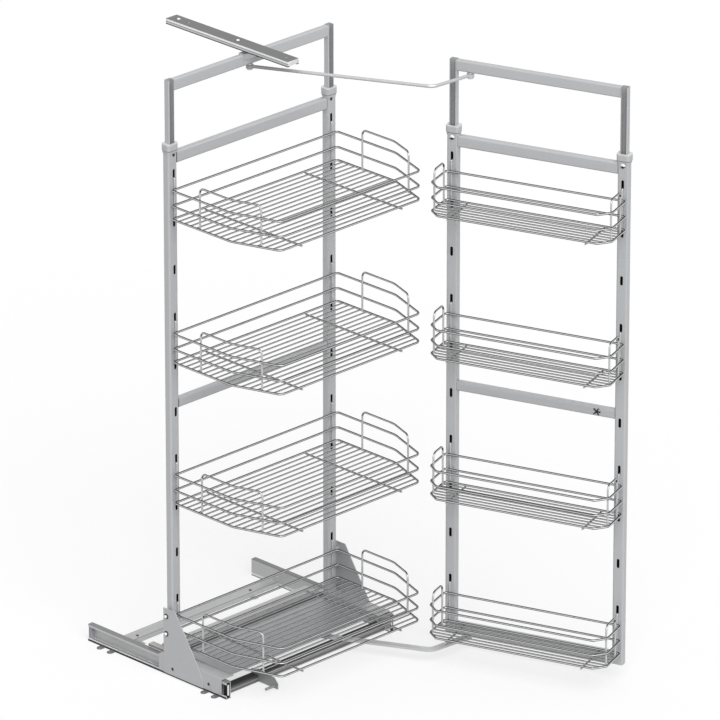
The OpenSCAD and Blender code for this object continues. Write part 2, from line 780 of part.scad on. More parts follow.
module roller_axles() {
    inner = rail_x0 + rail_t + run_gap;
    color(zinc) for (s = [0, 1], i = [0, 1]) mirror([s, 0, 0]) translate([0, roller_ys[i], roller_z]) {
        outer = i == 0 ? gusset_x + plate_t : gusset_x;
        difference() {
            union() {
                bore_x(axle_d, inner, outer);
                bore_x(rivet_d, inner, roller_x - roller_w / 2 - run_gap);
                bore_x(rivet_d, roller_x + roller_w / 2 + run_gap, plate_x);
            }
            bore_x(axle_socket_d, outer - 3, outer + cut);
        }
    }
}

module track_roller(y) {
    edge = 1.5;
    translate([roller_x, y, roller_z]) rotate([0, 90, 0]) difference() {
        rotate_extrude() polygon([[0, -roller_w / 2], [roller_d / 2 - edge, -roller_w / 2],
                                  [roller_d / 2, edge - roller_w / 2], [roller_d / 2, roller_w / 2 - edge],
                                  [roller_d / 2 - edge, roller_w / 2], [0, roller_w / 2]]);
        cylinder(h = roller_w + 2 * cut, d = axle_d + 2 * pin_gap, center = true);
    }
}

module front_roller_left() {
    color(white_plastic) left_side() track_roller(roller_ys[1]);
}

module front_roller_right() {
    color(white_plastic) track_roller(roller_ys[1]);
}

module rear_roller_left() {
    color(white_plastic) left_side() track_roller(roller_ys[0]);
}

module rear_roller_right() {
    color(white_plastic) track_roller(roller_ys[0]);
}

module lower_pivot_pin() {
    color(zinc) pivot_pin(inner_pivot, pan_z, flat_z + flat_t, flat_z);
}

module post_left() {
    color(painted_silver) left_side() inner_post();
}

module post_right() {
    color(painted_silver) inner_post();
}

module upper_bar() {
    color(painted_silver) crossbar(frame_w - 2 * post_w, post_top - upper_bar_drop - bar_h, bar_h);
}

module middle_bar() {
    color(painted_silver) crossbar(frame_w - 2 * post_w, middle_bar_z, middle_bar_h);
}

module collar_left() {
    color(grey_plastic) translate([-post_x, 0, 0]) collar(post_top);
}

module collar_right() {
    color(grey_plastic) translate([post_x, 0, 0]) collar(post_top);
}

module clamp_screws() {
    color(zinc) for (s = [-1, 1]) clamp_screw(s * slot_x, post_top - clamp_drop);
}

// Inner extension: channel posts, top bar and the roller that follows the ceiling guide

module extension_left() {
    color(painted_silver) translate([-post_x, 0, 0]) extension(post_top - ext_grip, top_z);
}

module extension_right() {
    color(painted_silver) translate([post_x, 0, 0]) extension(post_top - ext_grip, top_z);
}

module top_bar() {
    color(painted_silver) translate([0, mid_y, top_z - bar_h / 2])
        along_x(2 * post_x - ext_w) tube_outline(ext_bar_d, bar_h, tube_t, tube_r);
}

module guide_saddle() {
    inner_d = ext_bar_d + 2 * pin_gap;
    outer_d = inner_d + 2 * saddle_t;
    color(zinc) translate([0, mid_y, top_z]) along_x(saddle_len) difference() {
        translate([-outer_d / 2, -saddle_drop]) square([outer_d, saddle_drop + saddle_t]);
        translate([-inner_d / 2, -saddle_drop - cut]) square([inner_d, saddle_drop + cut]);
    }
}

module guide_stud() {
    seat_z = top_z + saddle_t;
    cap_z = guide_roller_z + guide_roller_h + run_gap;
    color(zinc) translate([0, mid_y, 0]) {
        translate([0, 0, seat_z]) cylinder(h = guide_roller_z - run_gap - seat_z, d = stud_d + 8);
        translate([0, 0, seat_z + cut]) cylinder(h = cap_z - seat_z - cut / 2, d = stud_d);
        translate([0, 0, cap_z]) cylinder(h = 0.9, d = stud_d + 4);
    }
}

module guide_roller() {
    color(white_plastic) translate([0, mid_y, guide_roller_z]) difference() {
        rotate_extrude() polygon([[0, 0], [guide_roller_d / 2 - cut, 0], [guide_roller_d / 2, cut],
                                  [guide_roller_d / 2, guide_roller_h - cut],
                                  [guide_roller_d / 2 - cut, guide_roller_h], [0, guide_roller_h]]);
        translate([0, 0, -cut]) cylinder(h = guide_roller_h + 2 * cut, d = stud_d + 2 * pin_gap);
    }
}

module upper_pivot_pin() {
    color(zinc) pivot_pin(inner_pivot, top_bar_z, upper_rod_z + rod_d / 2, upper_rod_z - rod_d / 2);
}

// Steering rods

module rod_eye(at, h, d) {
    translate([at.x, at.y, 0]) cylinder(h = h, d = d);
}

module rod_bore(at, z, h, gap) {
    translate([at.x, at.y, z - cut]) cylinder(h = h + 2 * cut, d = pivot_d + 2 * gap);
}

module upper_rod() {
    path = [for (p = [inner_pivot, rod_bend, door_pivot]) [p.x, p.y, upper_rod_z]];
    foot_z = upper_rod_z - rod_d / 2;
    color(zinc) difference() {
        union() {
            bent_wire(path, [0, bend_r, 0], rod_d - 0.4);
            translate([0, 0, foot_z]) {
                rod_eye(inner_pivot, rod_d, eye_d);
                rod_eye(door_pivot, rod_d, eye_d);
            }
        }
        rod_bore(inner_pivot, foot_z, rod_d, pin_gap);
        rod_bore(door_pivot, foot_z, rod_d, run_gap);
    }
}

module lower_rod() {
    into = unit(rod_bend - inner_pivot);
    out = unit(door_pivot - rod_bend);
    turn = turn_between(into, out);
    centre = rod_bend - into * bend_r * tan(turn / 2) + [-into.y, into.x] * bend_r;
    start = atan2(into.y, into.x) - 90;
    function edge(side) = concat(
        [inner_pivot + [into.y, -into.x] * side * flat_w / 2],
        [for (k = [0 : 6]) let (a = start + turn * k / 6)
            centre + (bend_r + side * flat_w / 2) * [cos(a), sin(a)]],
        [door_pivot + [out.y, -out.x] * side * flat_w / 2]);
    left = edge(-1);
    color(zinc) translate([0, 0, flat_z]) difference() {
        union() {
            linear_extrude(flat_t)
                polygon(concat(edge(1), [for (i = [len(left) - 1 : -1 : 0]) left[i]]));
            rod_eye(inner_pivot, flat_t, flat_w + 2 * flat_rim);
            rod_eye(door_pivot, flat_t, flat_w + 2 * flat_rim);
        }
        rod_bore(inner_pivot, 0, flat_t, pin_gap);
        rod_bore(door_pivot, 0, flat_t, pin_gap);
    }
}

// Door frame: slotted posts, three bars and shallow baskets, with its own height extension

module door_post_hinge_side() {
    color(painted_silver) on_door() translate([post_w / 2, 0, 0]) door_post();
}

module door_post_free_side() {
    color(painted_silver) on_door() translate([door_w - post_w / 2, 0, 0]) door_post();
}

module door_bar(z, h) {
    color(painted_silver) on_door() translate([door_w / 2, 0, 0]) crossbar(door_w - 2 * post_w, z, h);
}

module door_upper_bar() {
    door_bar(door_post_top - upper_bar_drop - bar_h, bar_h);
}

module door_middle_bar() {
    door_bar(middle_bar_z - door_drop, middle_bar_h);
}

module door_bottom_bar() {
    door_bar(door_foot_z, bar_h);
}

module door_collars() {
    color(grey_plastic) on_door() for (x = [post_w / 2, door_w - post_w / 2])
        translate([x, 0, 0]) collar(door_post_top);
}

module door_clamp_screws() {
    color(zinc) on_door() for (x = [post_w / 2, door_w - post_w / 2])
        clamp_screw(x, door_post_top - clamp_drop);
}

module door_lower_pin() {
    color(zinc) pivot_pin(door_pivot, door_foot_z, flat_z + flat_t, flat_z);
}

module door_extension(x) {
    color(painted_silver) on_door() translate([x, 0, 0])
        extension(door_post_top - ext_grip, top_bar_z + door_top_bar_h);
}

module door_extension_hinge_side() {
    door_extension(post_w / 2);
}

module door_extension_free_side() {
    door_extension(door_w - post_w / 2);
}

module door_top_bar() {
    color(painted_silver) on_door() translate([door_w / 2, mid_y, top_bar_z + door_top_bar_h / 2])
        along_x(door_w - post_w - ext_w) tube_outline(ext_bar_d, door_top_bar_h, tube_t, tube_r);
}

module door_upper_pin() {
    color(zinc) pivot_pin(door_pivot, top_bar_z, upper_rod_z + rod_d / 2, upper_rod_z - rod_d / 2);
}

floor_rail_left();
floor_rail_right();
rail_strips();
rail_end_blocks();
rail_bumpers();
front_floor_bar();
rear_floor_bar();
catch_plate();
catch_pin();
ceiling_guide_rail();
carriage_left();
carriage_right();
base_pan();
gusset_left();
gusset_right();
gusset_spacers();
gusset_screws();
roller_axles();
lower_pivot_pin();
post_left();
post_right();
upper_bar();
middle_bar();
collar_left();
collar_right();
clamp_screws();
rear_basket(0);  // rear_basket_1
rear_basket(1);  // rear_basket_2
rear_basket(2);  // rear_basket_3
rear_basket(3);  // rear_basket_4
front_roller_left();
front_roller_right();
rear_roller_left();
rear_roller_right();
extension_left();
extension_right();
top_bar();
guide_saddle();
guide_stud();
upper_pivot_pin();
guide_roller();
upper_rod();
lower_rod();
door_post_hinge_side();
door_post_free_side();
door_upper_bar();
door_middle_bar();
door_bottom_bar();
door_collars();
door_clamp_screws();
door_lower_pin();
door_basket(0);  // door_basket_1
door_basket(1);  // door_basket_2
door_basket(2);  // door_basket_3
door_basket(3);  // door_basket_4
door_extension_hinge_side();
door_extension_free_side();
door_top_bar();
door_upper_pin();
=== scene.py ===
"""Looks of a pull-out pantry frame: finishes, fasteners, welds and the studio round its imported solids."""

from __future__ import annotations

import logging
import math
from dataclasses import dataclass, field, replace
from enum import Enum, IntEnum
from typing import Iterable, Optional, Sequence, Union

import bmesh
import bpy
from mathutils import Matrix, Vector


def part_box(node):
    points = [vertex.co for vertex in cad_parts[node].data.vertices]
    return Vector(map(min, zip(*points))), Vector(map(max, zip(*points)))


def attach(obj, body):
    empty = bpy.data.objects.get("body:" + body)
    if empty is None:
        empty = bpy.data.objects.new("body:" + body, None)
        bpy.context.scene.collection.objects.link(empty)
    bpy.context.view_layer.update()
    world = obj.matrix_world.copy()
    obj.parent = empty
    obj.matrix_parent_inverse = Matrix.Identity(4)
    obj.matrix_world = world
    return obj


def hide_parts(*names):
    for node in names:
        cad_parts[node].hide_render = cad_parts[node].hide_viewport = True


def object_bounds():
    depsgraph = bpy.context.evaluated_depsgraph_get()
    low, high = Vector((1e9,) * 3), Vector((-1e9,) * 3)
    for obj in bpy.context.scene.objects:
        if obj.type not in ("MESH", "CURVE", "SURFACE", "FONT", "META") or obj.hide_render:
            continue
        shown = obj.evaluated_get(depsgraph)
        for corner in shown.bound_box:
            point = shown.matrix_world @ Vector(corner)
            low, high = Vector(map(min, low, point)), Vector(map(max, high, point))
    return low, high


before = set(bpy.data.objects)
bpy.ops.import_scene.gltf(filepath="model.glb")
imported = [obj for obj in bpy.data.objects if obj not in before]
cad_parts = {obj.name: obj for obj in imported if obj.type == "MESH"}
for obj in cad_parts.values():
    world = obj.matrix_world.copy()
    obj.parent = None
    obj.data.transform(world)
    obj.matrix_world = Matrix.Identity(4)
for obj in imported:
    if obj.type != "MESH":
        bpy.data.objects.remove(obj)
CAD_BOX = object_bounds()

MM = 0.001
log = logging.getLogger("pantry_frame")

Colour = tuple[float, float, float]
Stops = tuple[tuple[float, Colour], ...]
Operand = Union["Signal", int, float]
Feed = Union["Signal", bpy.types.NodeSocket, int, float, Sequence[float]]
Inputs = dict[str, Feed]

EVEN: Colour = (1.0, 1.0, 1.0)
COOL: Colour = (1.0, 1.005, 1.015)
DEEP_SHADE: Colour = (0.006, 0.006, 0.007)
UP = Vector((0.0, 0.0, 1.0))
FORWARD = Vector((0.0, -1.0, 0.0))


class Axis(IntEnum):
    """The axes of the shared frame."""

    X = 0
    Y = 1
    Z = 2


class Body(str, Enum):
    """The moving bodies that pieces ride on."""

    CABINET = "cabinet_rails"
    FRAME = "inner_frame"
    DOOR = "door_frame"


class Slot(str, Enum):
    """The names of the record's finishes."""

    SILVER = "silver_paint"
    ZINC = "zinc"
    WIRE = "chrome_wire"
    BLACK = "black_plastic"
    WHITE = "white_plastic"
    GREY = "grey_plastic"


class Edge(Enum):
    """How far a node's sharp edges are broken, in millimetres."""

    NONE = 0.0
    SHEET = 0.25
    TUBE = 0.4
    MOULDED = 0.6


class Signal:
    """A value in a node tree that takes part in Python arithmetic."""

    def __init__(self, recipe: "Recipe", socket: bpy.types.NodeSocket) -> None:
        """Wraps one output socket."""
        self.recipe = recipe
        self.socket = socket

    def __add__(self, other: Operand) -> "Signal":
        """self + other."""
        return self.recipe.math("ADD", self, other)

    def __radd__(self, other: Operand) -> "Signal":
        """other + self."""
        return self.recipe.math("ADD", other, self)

    def __sub__(self, other: Operand) -> "Signal":
        """self - other."""
        return self.recipe.math("SUBTRACT", self, other)

    def __rsub__(self, other: Operand) -> "Signal":
        """other - self."""
        return self.recipe.math("SUBTRACT", other, self)

    def __mul__(self, other: Operand) -> "Signal":
        """self * other."""
        return self.recipe.math("MULTIPLY", self, other)

    def __rmul__(self, other: Operand) -> "Signal":
        """other * self."""
        return self.recipe.math("MULTIPLY", other, self)

    def __lt__(self, other: Operand) -> "Signal":
        """1 where self is below other, else 0."""
        return self.recipe.math("LESS_THAN", self, other)

    def __gt__(self, other: Operand) -> "Signal":
        """1 where self is above other, else 0."""
        return self.recipe.math("GREATER_THAN", self, other)

    def __abs__(self) -> "Signal":
        """The size of self without its sign."""
        return self.recipe.math("ABSOLUTE", self)

    def at_least(self, other: Operand) -> "Signal":
        """The larger of self and other."""
        return self.recipe.math("MAXIMUM", self, other)

    def at_most(self, other: Operand) -> "Signal":
        """The smaller of self and other."""
        return self.recipe.math("MINIMUM", self, other)

    def root(self) -> "Signal":
        """The square root of self."""
        return self.recipe.math("SQRT", self)


class Recipe:
    """One node tree and the means to add to it."""

    def __init__(self, tree: bpy.types.NodeTree) -> None:
        """Takes a tree as it is."""
        self.tree = tree

    def node(
        self,
        kind: str,
        settings: Optional[dict[str, object]] = None,
        inputs: Optional[dict[Union[str, int], Feed]] = None,
    ) -> bpy.types.Node:
        """Adds a node of any type.

        Args:
            kind: The node's type name.
            settings: Its properties, set first; "stops" is a ramp's list of (place, colour).
            inputs: Values or links of its sockets, by name or number.

        Returns:
            The new node.
        """
        made = self.tree.nodes.new(kind)
        for key, value in (settings or {}).items():
            if key == "stops":
                self._set_stops(made.color_ramp, value)
            else:
                setattr(made, key, value)
        for key, value in (inputs or {}).items():
            self.feed(made.inputs[key], value)
        return made

    @staticmethod
    def _set_stops(ramp: bpy.types.ColorRamp, stops: Stops) -> None:
        """Sets a ramp's stops.

        Args:
            ramp: The ramp to set.
            stops: Each stop's place and colour.
        """
        while len(ramp.elements) < len(stops):
            ramp.elements.new(1.0)
        for element, (place, colour) in zip(ramp.elements, stops):
            element.position = place
            element.color = (*colour, 1.0)

    def feed(self, socket: bpy.types.NodeSocket, value: Feed) -> None:
        """Links a socket, or sets its value.

        Args:
            socket: The input to feed.
            value: A signal, an output socket or a plain value.
        """
        if isinstance(value, Signal):
            self.tree.links.new(value.socket, socket)
        elif isinstance(value, bpy.types.NodeSocket):
            self.tree.links.new(value, socket)
        else:
            socket.default_value = value

    def math(self, operation: str, *values: Operand) -> Signal:
        """Adds a Math node and gives its value."""
        made = self.node("ShaderNodeMath", {"operation": operation}, dict(enumerate(values)))
        return Signal(self, made.outputs[0])

    def place(self) -> bpy.types.NodeSocket:
        """The point on the piece, in metres in the shared frame."""
        return self.node("ShaderNodeTexCoord").outputs["Object"]

    def axes(self, point: bpy.types.NodeSocket) -> tuple[Signal, Signal, Signal]:
        """A point's three coordinates."""
        made = self.node("ShaderNodeSeparateXYZ", None, {0: point})
        return tuple(Signal(self, made.outputs[i]) for i in range(3))

    def scaled(self, vector: Feed, factor: Feed) -> bpy.types.NodeSocket:
        """Multiplies a vector or colour by a number."""
        made = self.node(
            "ShaderNodeVectorMath", {"operation": "SCALE"}, {"Vector": vector, "Scale": factor}
        )
        return made.outputs[0]

    def stretched(self, vector: Feed, by: Sequence[float]) -> bpy.types.NodeSocket:
        """Multiplies a vector by another, axis by axis."""
        made = self.node(
            "ShaderNodeVectorMath", {"operation": "MULTIPLY"}, {0: vector, 1: tuple(by)}
        )
        return made.outputs[0]

    def noise(self, point: Feed, size: float, detail: float = 2.0) -> Signal:
        """Soft noise from 0 to 1, with blotches of a size in metres."""
        made = self.node(
            "ShaderNodeTexNoise", None, {"Vector": point, "Scale": 1.0 / size, "Detail": detail}
        )
        return Signal(self, made.outputs["Fac"])

    def flakes(self, point: Feed, size: float) -> Signal:
        """Cells with a tone each.

        Args:
            point: Where they are read.
            size: A cell's width in metres.

        Returns:
            A value from 0 to 1 that is the same all over a cell.
        """
        made = self.node("ShaderNodeTexVoronoi", None, {"Vector": point, "Scale": 1.0 / size})
        split = self.node("ShaderNodeSeparateColor", None, {0: made.outputs["Color"]})
        return Signal(self, split.outputs[0])

    def mixed(self, factor: Feed, low: Feed, high: Feed) -> bpy.types.NodeSocket:
        """Mixes two colours; a factor of 1 gives the second."""
        made = self.node("ShaderNodeMix", {"data_type": "RGBA"}, {0: factor, 6: low, 7: high})
        return made.outputs[2]

    def bump(self, height: Signal, depth: float, strength: float) -> bpy.types.NodeSocket:
        """Turns a height from 0 to 1 into a normal, with its depth in metres."""
        made = self.node(
            "ShaderNodeBump", None, {"Strength": strength, "Distance": depth, "Height": height}
        )
        return made.outputs[0]

    def background_rays(self) -> Signal:
        """Finds the rays that show the background: straight, mirrored or through glass.

        Returns:
            1 for those rays, else 0.
        """
        path = self.node("ShaderNodeLightPath")
        kinds = ("Camera", "Glossy", "Transmission")
        seen = (Signal(self, path.outputs[f"Is {kind} Ray"]) for kind in kinds)
        return sum(seen, 0.0).at_most(1.0)


@dataclass(frozen=True)
class Hollow:
    """The inside of a pair of upright tubes, where painted shade makes them darker than their outside."""

    middle: Vector
    turn: float
    apart: float
    width: float
    depth: float
    corner: float
    skin: float = 0.4 * MM

    @classmethod
    def mirrored(cls, node: str, size: Sequence[float]) -> "Hollow":
        """The inside of an upright tube and of its mirror image.

        Args:
            node: The tube on the right.
            size: Its width, depth and corner radius in metres.

        Returns:
            The hollow of both.
        """
        low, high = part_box(node)
        middle = (low + high) / 2
        return cls(Vector((0.0, middle.y, 0.0)), 0.0, middle.x, *size)

    def mask(self, recipe: Recipe, point: bpy.types.NodeSocket) -> Signal:
        """Finds the inside.

        Args:
            recipe: The tree to add to.
            point: Where it is asked.

        Returns:
            1 inside the tubes and 0 on their skin.
        """
        moved = recipe.node(
            "ShaderNodeVectorMath", {"operation": "SUBTRACT"}, {0: point, 1: tuple(self.middle)}
        )
        turned = recipe.node(
            "ShaderNodeVectorRotate",
            {"rotation_type": "Z_AXIS"},
            {"Vector": moved.outputs[0], "Angle": -self.turn},
        )
        along, across, _ = recipe.axes(turned.outputs[0])
        wide = abs(abs(along) - self.apart) - (self.width / 2 - self.corner)
        deep = abs(across) - (self.depth / 2 - self.corner)
        past_wide, past_deep = wide.at_least(0.0), deep.at_least(0.0)
        round_corner = (past_wide * past_wide + past_deep * past_deep).root()
        return round_corner + wide.at_least(deep).at_most(0.0) < self.corner - self.skin


def grey(level: float) -> Colour:
    """A neutral colour with a trace of blue."""
    return tuple(level * share for share in COOL)


def stepped(tones: Stops, blur: float) -> Stops:
    """Turns tones with their upper ends into a ramp's stops.

    Args:
        tones: Each band's upper end, from 0 to 1, and its colour.
        blur: How far one band runs into the next.

    Returns:
        Two stops for each band.
    """
    stops = []
    start = 0.0
    for end, colour in tones:
        stops += [(start, colour), (end, colour)]
        start = end + blur
    return tuple(stops)


@dataclass(frozen=True)
class Bands:
    """Tones that change along one axis of a piece, such as a bright lip and a dull top."""

    axis: Axis
    low: float
    high: float
    stops: Stops

    @classmethod
    def over(cls, node: str, axis: Axis, tones: Stops, blur: float) -> "Bands":
        """Spreads tones along an axis of a node's box, each up to its end, from 0 to 1."""
        low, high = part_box(node)
        return cls(axis, low[axis], high[axis], stepped(tones, blur))

    def colour(self, recipe: Recipe, point: bpy.types.NodeSocket) -> bpy.types.NodeSocket:
        """Reads the tone at a point.

        Args:
            recipe: The tree to add to.
            point: Where it is asked.

        Returns:
            The colour's socket.
        """
        share = (recipe.axes(point)[self.axis] - self.low) * (1.0 / (self.high - self.low))
        made = recipe.node("ShaderNodeValToRGB", {"stops": self.stops}, {"Fac": share})
        return made.outputs["Color"]


@dataclass(frozen=True)
class Marks:
    """One layer of marks, its width in millimetres, and how far it sways tone and roughness."""

    width: float
    tone: float = 0.0
    rough: float = 0.0
    detail: float = 2.0
    cells: bool = False

    def drawn(self, recipe: Recipe, point: bpy.types.NodeSocket) -> Signal:
        """Draws the marks.

        Args:
            recipe: The tree to add to.
            point: Where they are read.

        Returns:
            The marks, from 0 to 1.
        """
        if self.cells:
            return recipe.flakes(point, self.width * MM)
        return recipe.noise(point, self.width * MM, self.detail)


@dataclass(frozen=True)
class Texture:
    """The marks of a kind of surface; the first layer is also raised, to a depth in millimetres."""

    layers: tuple[Marks, ...]
    depth: float
    strength: float


@dataclass(frozen=True)
class Finish:
    """What every finish does: one material, made once and shared."""

    name: str
    colour: Colour
    texture: Texture
    metallic: float = 0.0
    roughness: float = 0.5
    grain: Colour = EVEN
    bands: Optional[Bands] = None

    def material(self) -> bpy.types.Material:
        """Finds the finish's material, or makes it at the first call.

        Returns:
            The material.
        """
        found = bpy.data.materials.get(self.name)
        if found is not None:
            return found
        made = bpy.data.materials.new(self.name)
        made.use_nodes = True
        self.mix(Recipe(made.node_tree), made.node_tree.nodes["Principled BSDF"])
        return made

    def tint(self, recipe: Recipe, point: bpy.types.NodeSocket) -> Feed:
        """Finds the colour that the marks sway."""
        return self.bands.colour(recipe, point) if self.bands else self.colour

    def changes(self, recipe: Recipe, point: bpy.types.NodeSocket, inputs: Inputs) -> Inputs:
        """What a kind of finish adds to the shader's inputs or changes in them."""
        return {}

    def mix(self, recipe: Recipe, shader: bpy.types.Node) -> None:
        """Feeds the shader.

        Args:
            recipe: The material's tree.
            shader: Its shader.
        """
        point = recipe.place()
        raised, *others = self.texture.layers
        marks = [raised.drawn(recipe, recipe.stretched(point, self.grain))]
        marks += [layer.drawn(recipe, point) for layer in others]
        tone: Operand = 1.0
        roughness: Operand = self.roughness
        for layer, mark in zip(self.texture.layers, marks):
            if layer.tone:
                tone = tone + (mark - 0.5) * layer.tone
            if layer.rough:
                roughness = roughness + (mark - 0.5) * layer.rough
        inputs: Inputs = {
            "Base Color": recipe.scaled(self.tint(recipe, point), tone),
            "Roughness": roughness,
            "Metallic": self.metallic,
            "Normal": recipe.bump(marks[0], self.texture.depth * MM, self.texture.strength),
        }
        inputs.update(self.changes(recipe, point, inputs))
        for name, value in inputs.items():
            recipe.feed(shader.inputs[name], value)


@dataclass(frozen=True)
class PowderCoat(Finish):
    """Silver powder coat: fine bright flakes under a slightly rippled film."""

    texture: Texture = Texture(
        (Marks(1.6), Marks(130.0, 0.07, 0.10, 3.0), Marks(0.45, 0.10, -0.08, cells=True)), 0.03, 0.35
    )
    metallic: float = 0.25
    roughness: float = 0.42
    hollow: Optional[Hollow] = None
    inside: Colour = DEEP_SHADE
    sunk_below: Optional[float] = None

    def changes(self, recipe: Recipe, point: bpy.types.NodeSocket, inputs: Inputs) -> Inputs:
        """Paints shade on the inside of tubes and on what is sunk in them.

        Args:
            recipe: The material's tree.
            point: Where it is asked.
            inputs: What every finish feeds.

        Returns:
            The inputs that differ.
        """
        colour, roughness, metallic = (inputs[key] for key in ("Base Color", "Roughness", "Metallic"))
        if self.hollow is not None:
            # Painted shade inside the tubes.
            within = self.hollow.mask(recipe, point)
            colour = recipe.mixed(within, colour, (*self.inside, 1.0))
            roughness = roughness + within * (1.0 - self.roughness)
            metallic = (1 - within) * self.metallic
        if self.sunk_below is not None:
            # Painted shade on what is sunk below the post's top.
            sunk = recipe.axes(point)[Axis.Z] < self.sunk_below
            colour = recipe.mixed(sunk, colour, (*DEEP_SHADE, 1.0))
            metallic = metallic * (1 - sunk)
        return {"Base Color": colour, "Roughness": roughness, "Metallic": metallic}


@dataclass(frozen=True)
class BrightZinc(Finish):
    """Zinc-plated steel: faint crystals, rolling lines and a soft gloss."""

    texture: Texture = Texture(
        (Marks(0.8, 0.05, 0.06), Marks(7.0, 0.05, 0.04, cells=True), Marks(60.0, 0.08, detail=3.0)),
        0.01,
        0.12,
    )
    metallic: float = 0.75
    roughness: float = 0.30


@dataclass(frozen=True)
class PlatedWire(Finish):
    """Plated wire with faint drawing marks and patches, and painted shading: a painted highlight on the
    flank and painted shade on the crown and underside.
    """

    texture: Texture = Texture((Marks(0.7, 0.08), Marks(35.0, 0.14, 0.16, 3.0)), 0.02, 0.2)
    metallic: float = 0.35
    roughness: float = 0.28

    def tint(self, recipe: Recipe, point: bpy.types.NodeSocket) -> Feed:
        """Paints highlight and shade into the colour by how steeply the wire's skin faces."""
        return self.bands.colour(recipe, recipe.node("ShaderNodeNewGeometry").outputs["Normal"])


@dataclass(frozen=True)
class RolledSheet(Finish):
    """Rolled sheet steel: long fine lines along one axis."""

    texture: Texture = Texture((Marks(1.2, 0.16, 0.16, 3.0), Marks(90.0, 0.10, detail=3.0)), 0.02, 0.3)
    metallic: float = 0.4
    roughness: float = 0.45
    grain: Colour = (0.02, 1.0, 1.0)


@dataclass(frozen=True)
class MouldedPlastic(Finish):
    """Injection-moulded plastic with a fine spark-eroded texture."""

    texture: Texture = Texture((Marks(0.5, 0.12, 0.15, 3.0), Marks(18.0, 0.10)), 0.02, 0.4)
    gloss: float = 0.5

    def changes(self, recipe: Recipe, point: bpy.types.NodeSocket, inputs: Inputs) -> Inputs:
        """Sets the gloss, which is the same all over."""
        return {"Specular IOR Level": self.gloss}


# Mesh helpers: every new piece is built from these


def meshed(shape: bmesh.types.BMesh, name: str) -> bpy.types.Mesh:
    """Turns a shape into a mesh and frees it.

    Args:
        shape: The shape to turn.
        name: The mesh's name.

    Returns:
        The new mesh.
    """
    mesh = bpy.data.meshes.new(name)
    shape.to_mesh(mesh)
    shape.free()
    return mesh


def linked(name: str, data: bpy.types.ID) -> bpy.types.Object:
    """Puts a new object in the scene.

    Args:
        name: The object's name.
        data: Its mesh, lamp or camera.

    Returns:
        The new object.
    """
    made = bpy.data.objects.new(name, data)
    bpy.context.scene.collection.objects.link(made)
    return made


def turned_mesh(name: str, profile: Sequence[tuple[float, float]], sides: int = 28) -> bpy.types.Mesh:
    """Turns a profile about the Z axis.

    Args:
        name: The mesh's name.
        profile: Radius and height of each ring, from the first pole to the last.
        sides: How many sides a ring has.

    Returns:
        A closed mesh with its caps.
    """
    shape = bmesh.new()
    turns = [2 * math.pi * k / sides for k in range(sides)]
    rings = [
        [shape.verts.new((radius * math.cos(a), radius * math.sin(a), height)) for a in turns]
        for radius, height in profile
    ]
    for low, high in zip(rings, rings[1:]):
        for k in range(sides):
            after = (k + 1) % sides
            shape.faces.new((low[k], low[after], high[after], high[k]))
    shape.faces.new(rings[0][::-1])
    shape.faces.new(rings[-1])
    bmesh.ops.recalc_face_normals(shape, faces=shape.faces)
    return meshed(shape, name)


def block_mesh(name: str, boxes: Iterable[tuple[Sequence[float], Sequence[float]]]) -> bpy.types.Mesh:
    """Joins boxes into one mesh.

    Args:
        name: The mesh's name.
        boxes: Each box's middle and its full width, depth and height.

    Returns:
        The mesh of all the boxes.
    """
    shape = bmesh.new()
    for middle, size in boxes:
        matrix = Matrix.Translation(middle) @ Matrix.Diagonal((*size, 1.0))
        bmesh.ops.create_cube(shape, size=1.0, matrix=matrix)
    return meshed(shape, name)


def round_edges(mesh: bpy.types.Mesh, radius: float, segments: int = 3, profile: float = 0.5) -> None:
    """Rounds every edge of a mesh in place.

    Args:
        mesh: The mesh to round.
        radius: The edges' radius in metres.
        segments: How many faces a rounding has.
        profile: How full it is, with 0.5 for an arc.
    """
    shape = bmesh.new()
    shape.from_mesh(mesh)
    bmesh.ops.bevel(
        shape, geom=shape.edges[:], offset=radius, segments=segments, profile=profile, affect="EDGES"
    )
    shape.to_mesh(mesh)
    shape.free()


def carved_mesh(mesh: bpy.types.Mesh, cutters: Sequence[bpy.types.Mesh]) -> bpy.types.Mesh:
    """Cuts shapes out of a mesh.

    Args:
        mesh: What is cut.
        cutters: The shapes to take away, one after the other.

    Returns:
        The cut mesh.
    """
    body = linked("carved", mesh)
    tools = [linked("cutter", cutter) for cutter in cutters]
    for tool in tools:
        step = body.modifiers.new("cut", "BOOLEAN")
        step.operation = "DIFFERENCE"
        step.object = tool
        step.solver = "EXACT"
    bpy.context.view_layer.update()
    depsgraph = bpy.context.evaluated_depsgraph_get()
    made = bpy.data.meshes.new_from_object(body.evaluated_get(depsgraph))
    made.name = mesh.name + "_cut"
    for spent in (body, *tools):
        bpy.data.objects.remove(spent)
    return made


def upright(location: Vector, axis: Vector, spin: float = 0.0) -> Matrix:
    """A place whose Z axis points along a direction, with a spin about it in radians."""
    turn = axis.to_track_quat("Z", "Y").to_matrix().to_4x4()
    return Matrix.Translation(location) @ turn @ Matrix.Rotation(spin, 4, "Z")


def merged_mesh(name: str, mesh: bpy.types.Mesh, places: Iterable[Matrix]) -> bpy.types.Mesh:
    """Copies a mesh to several places.

    Args:
        name: The new mesh's name.
        mesh: The mesh to copy.
        places: Where each copy goes.

    Returns:
        One mesh of all the copies.
    """
    shape = bmesh.new()
    for place in places:
        copy = mesh.copy()
        copy.transform(place)
        shape.from_mesh(copy)
        bpy.data.meshes.remove(copy)
    return meshed(shape, name)


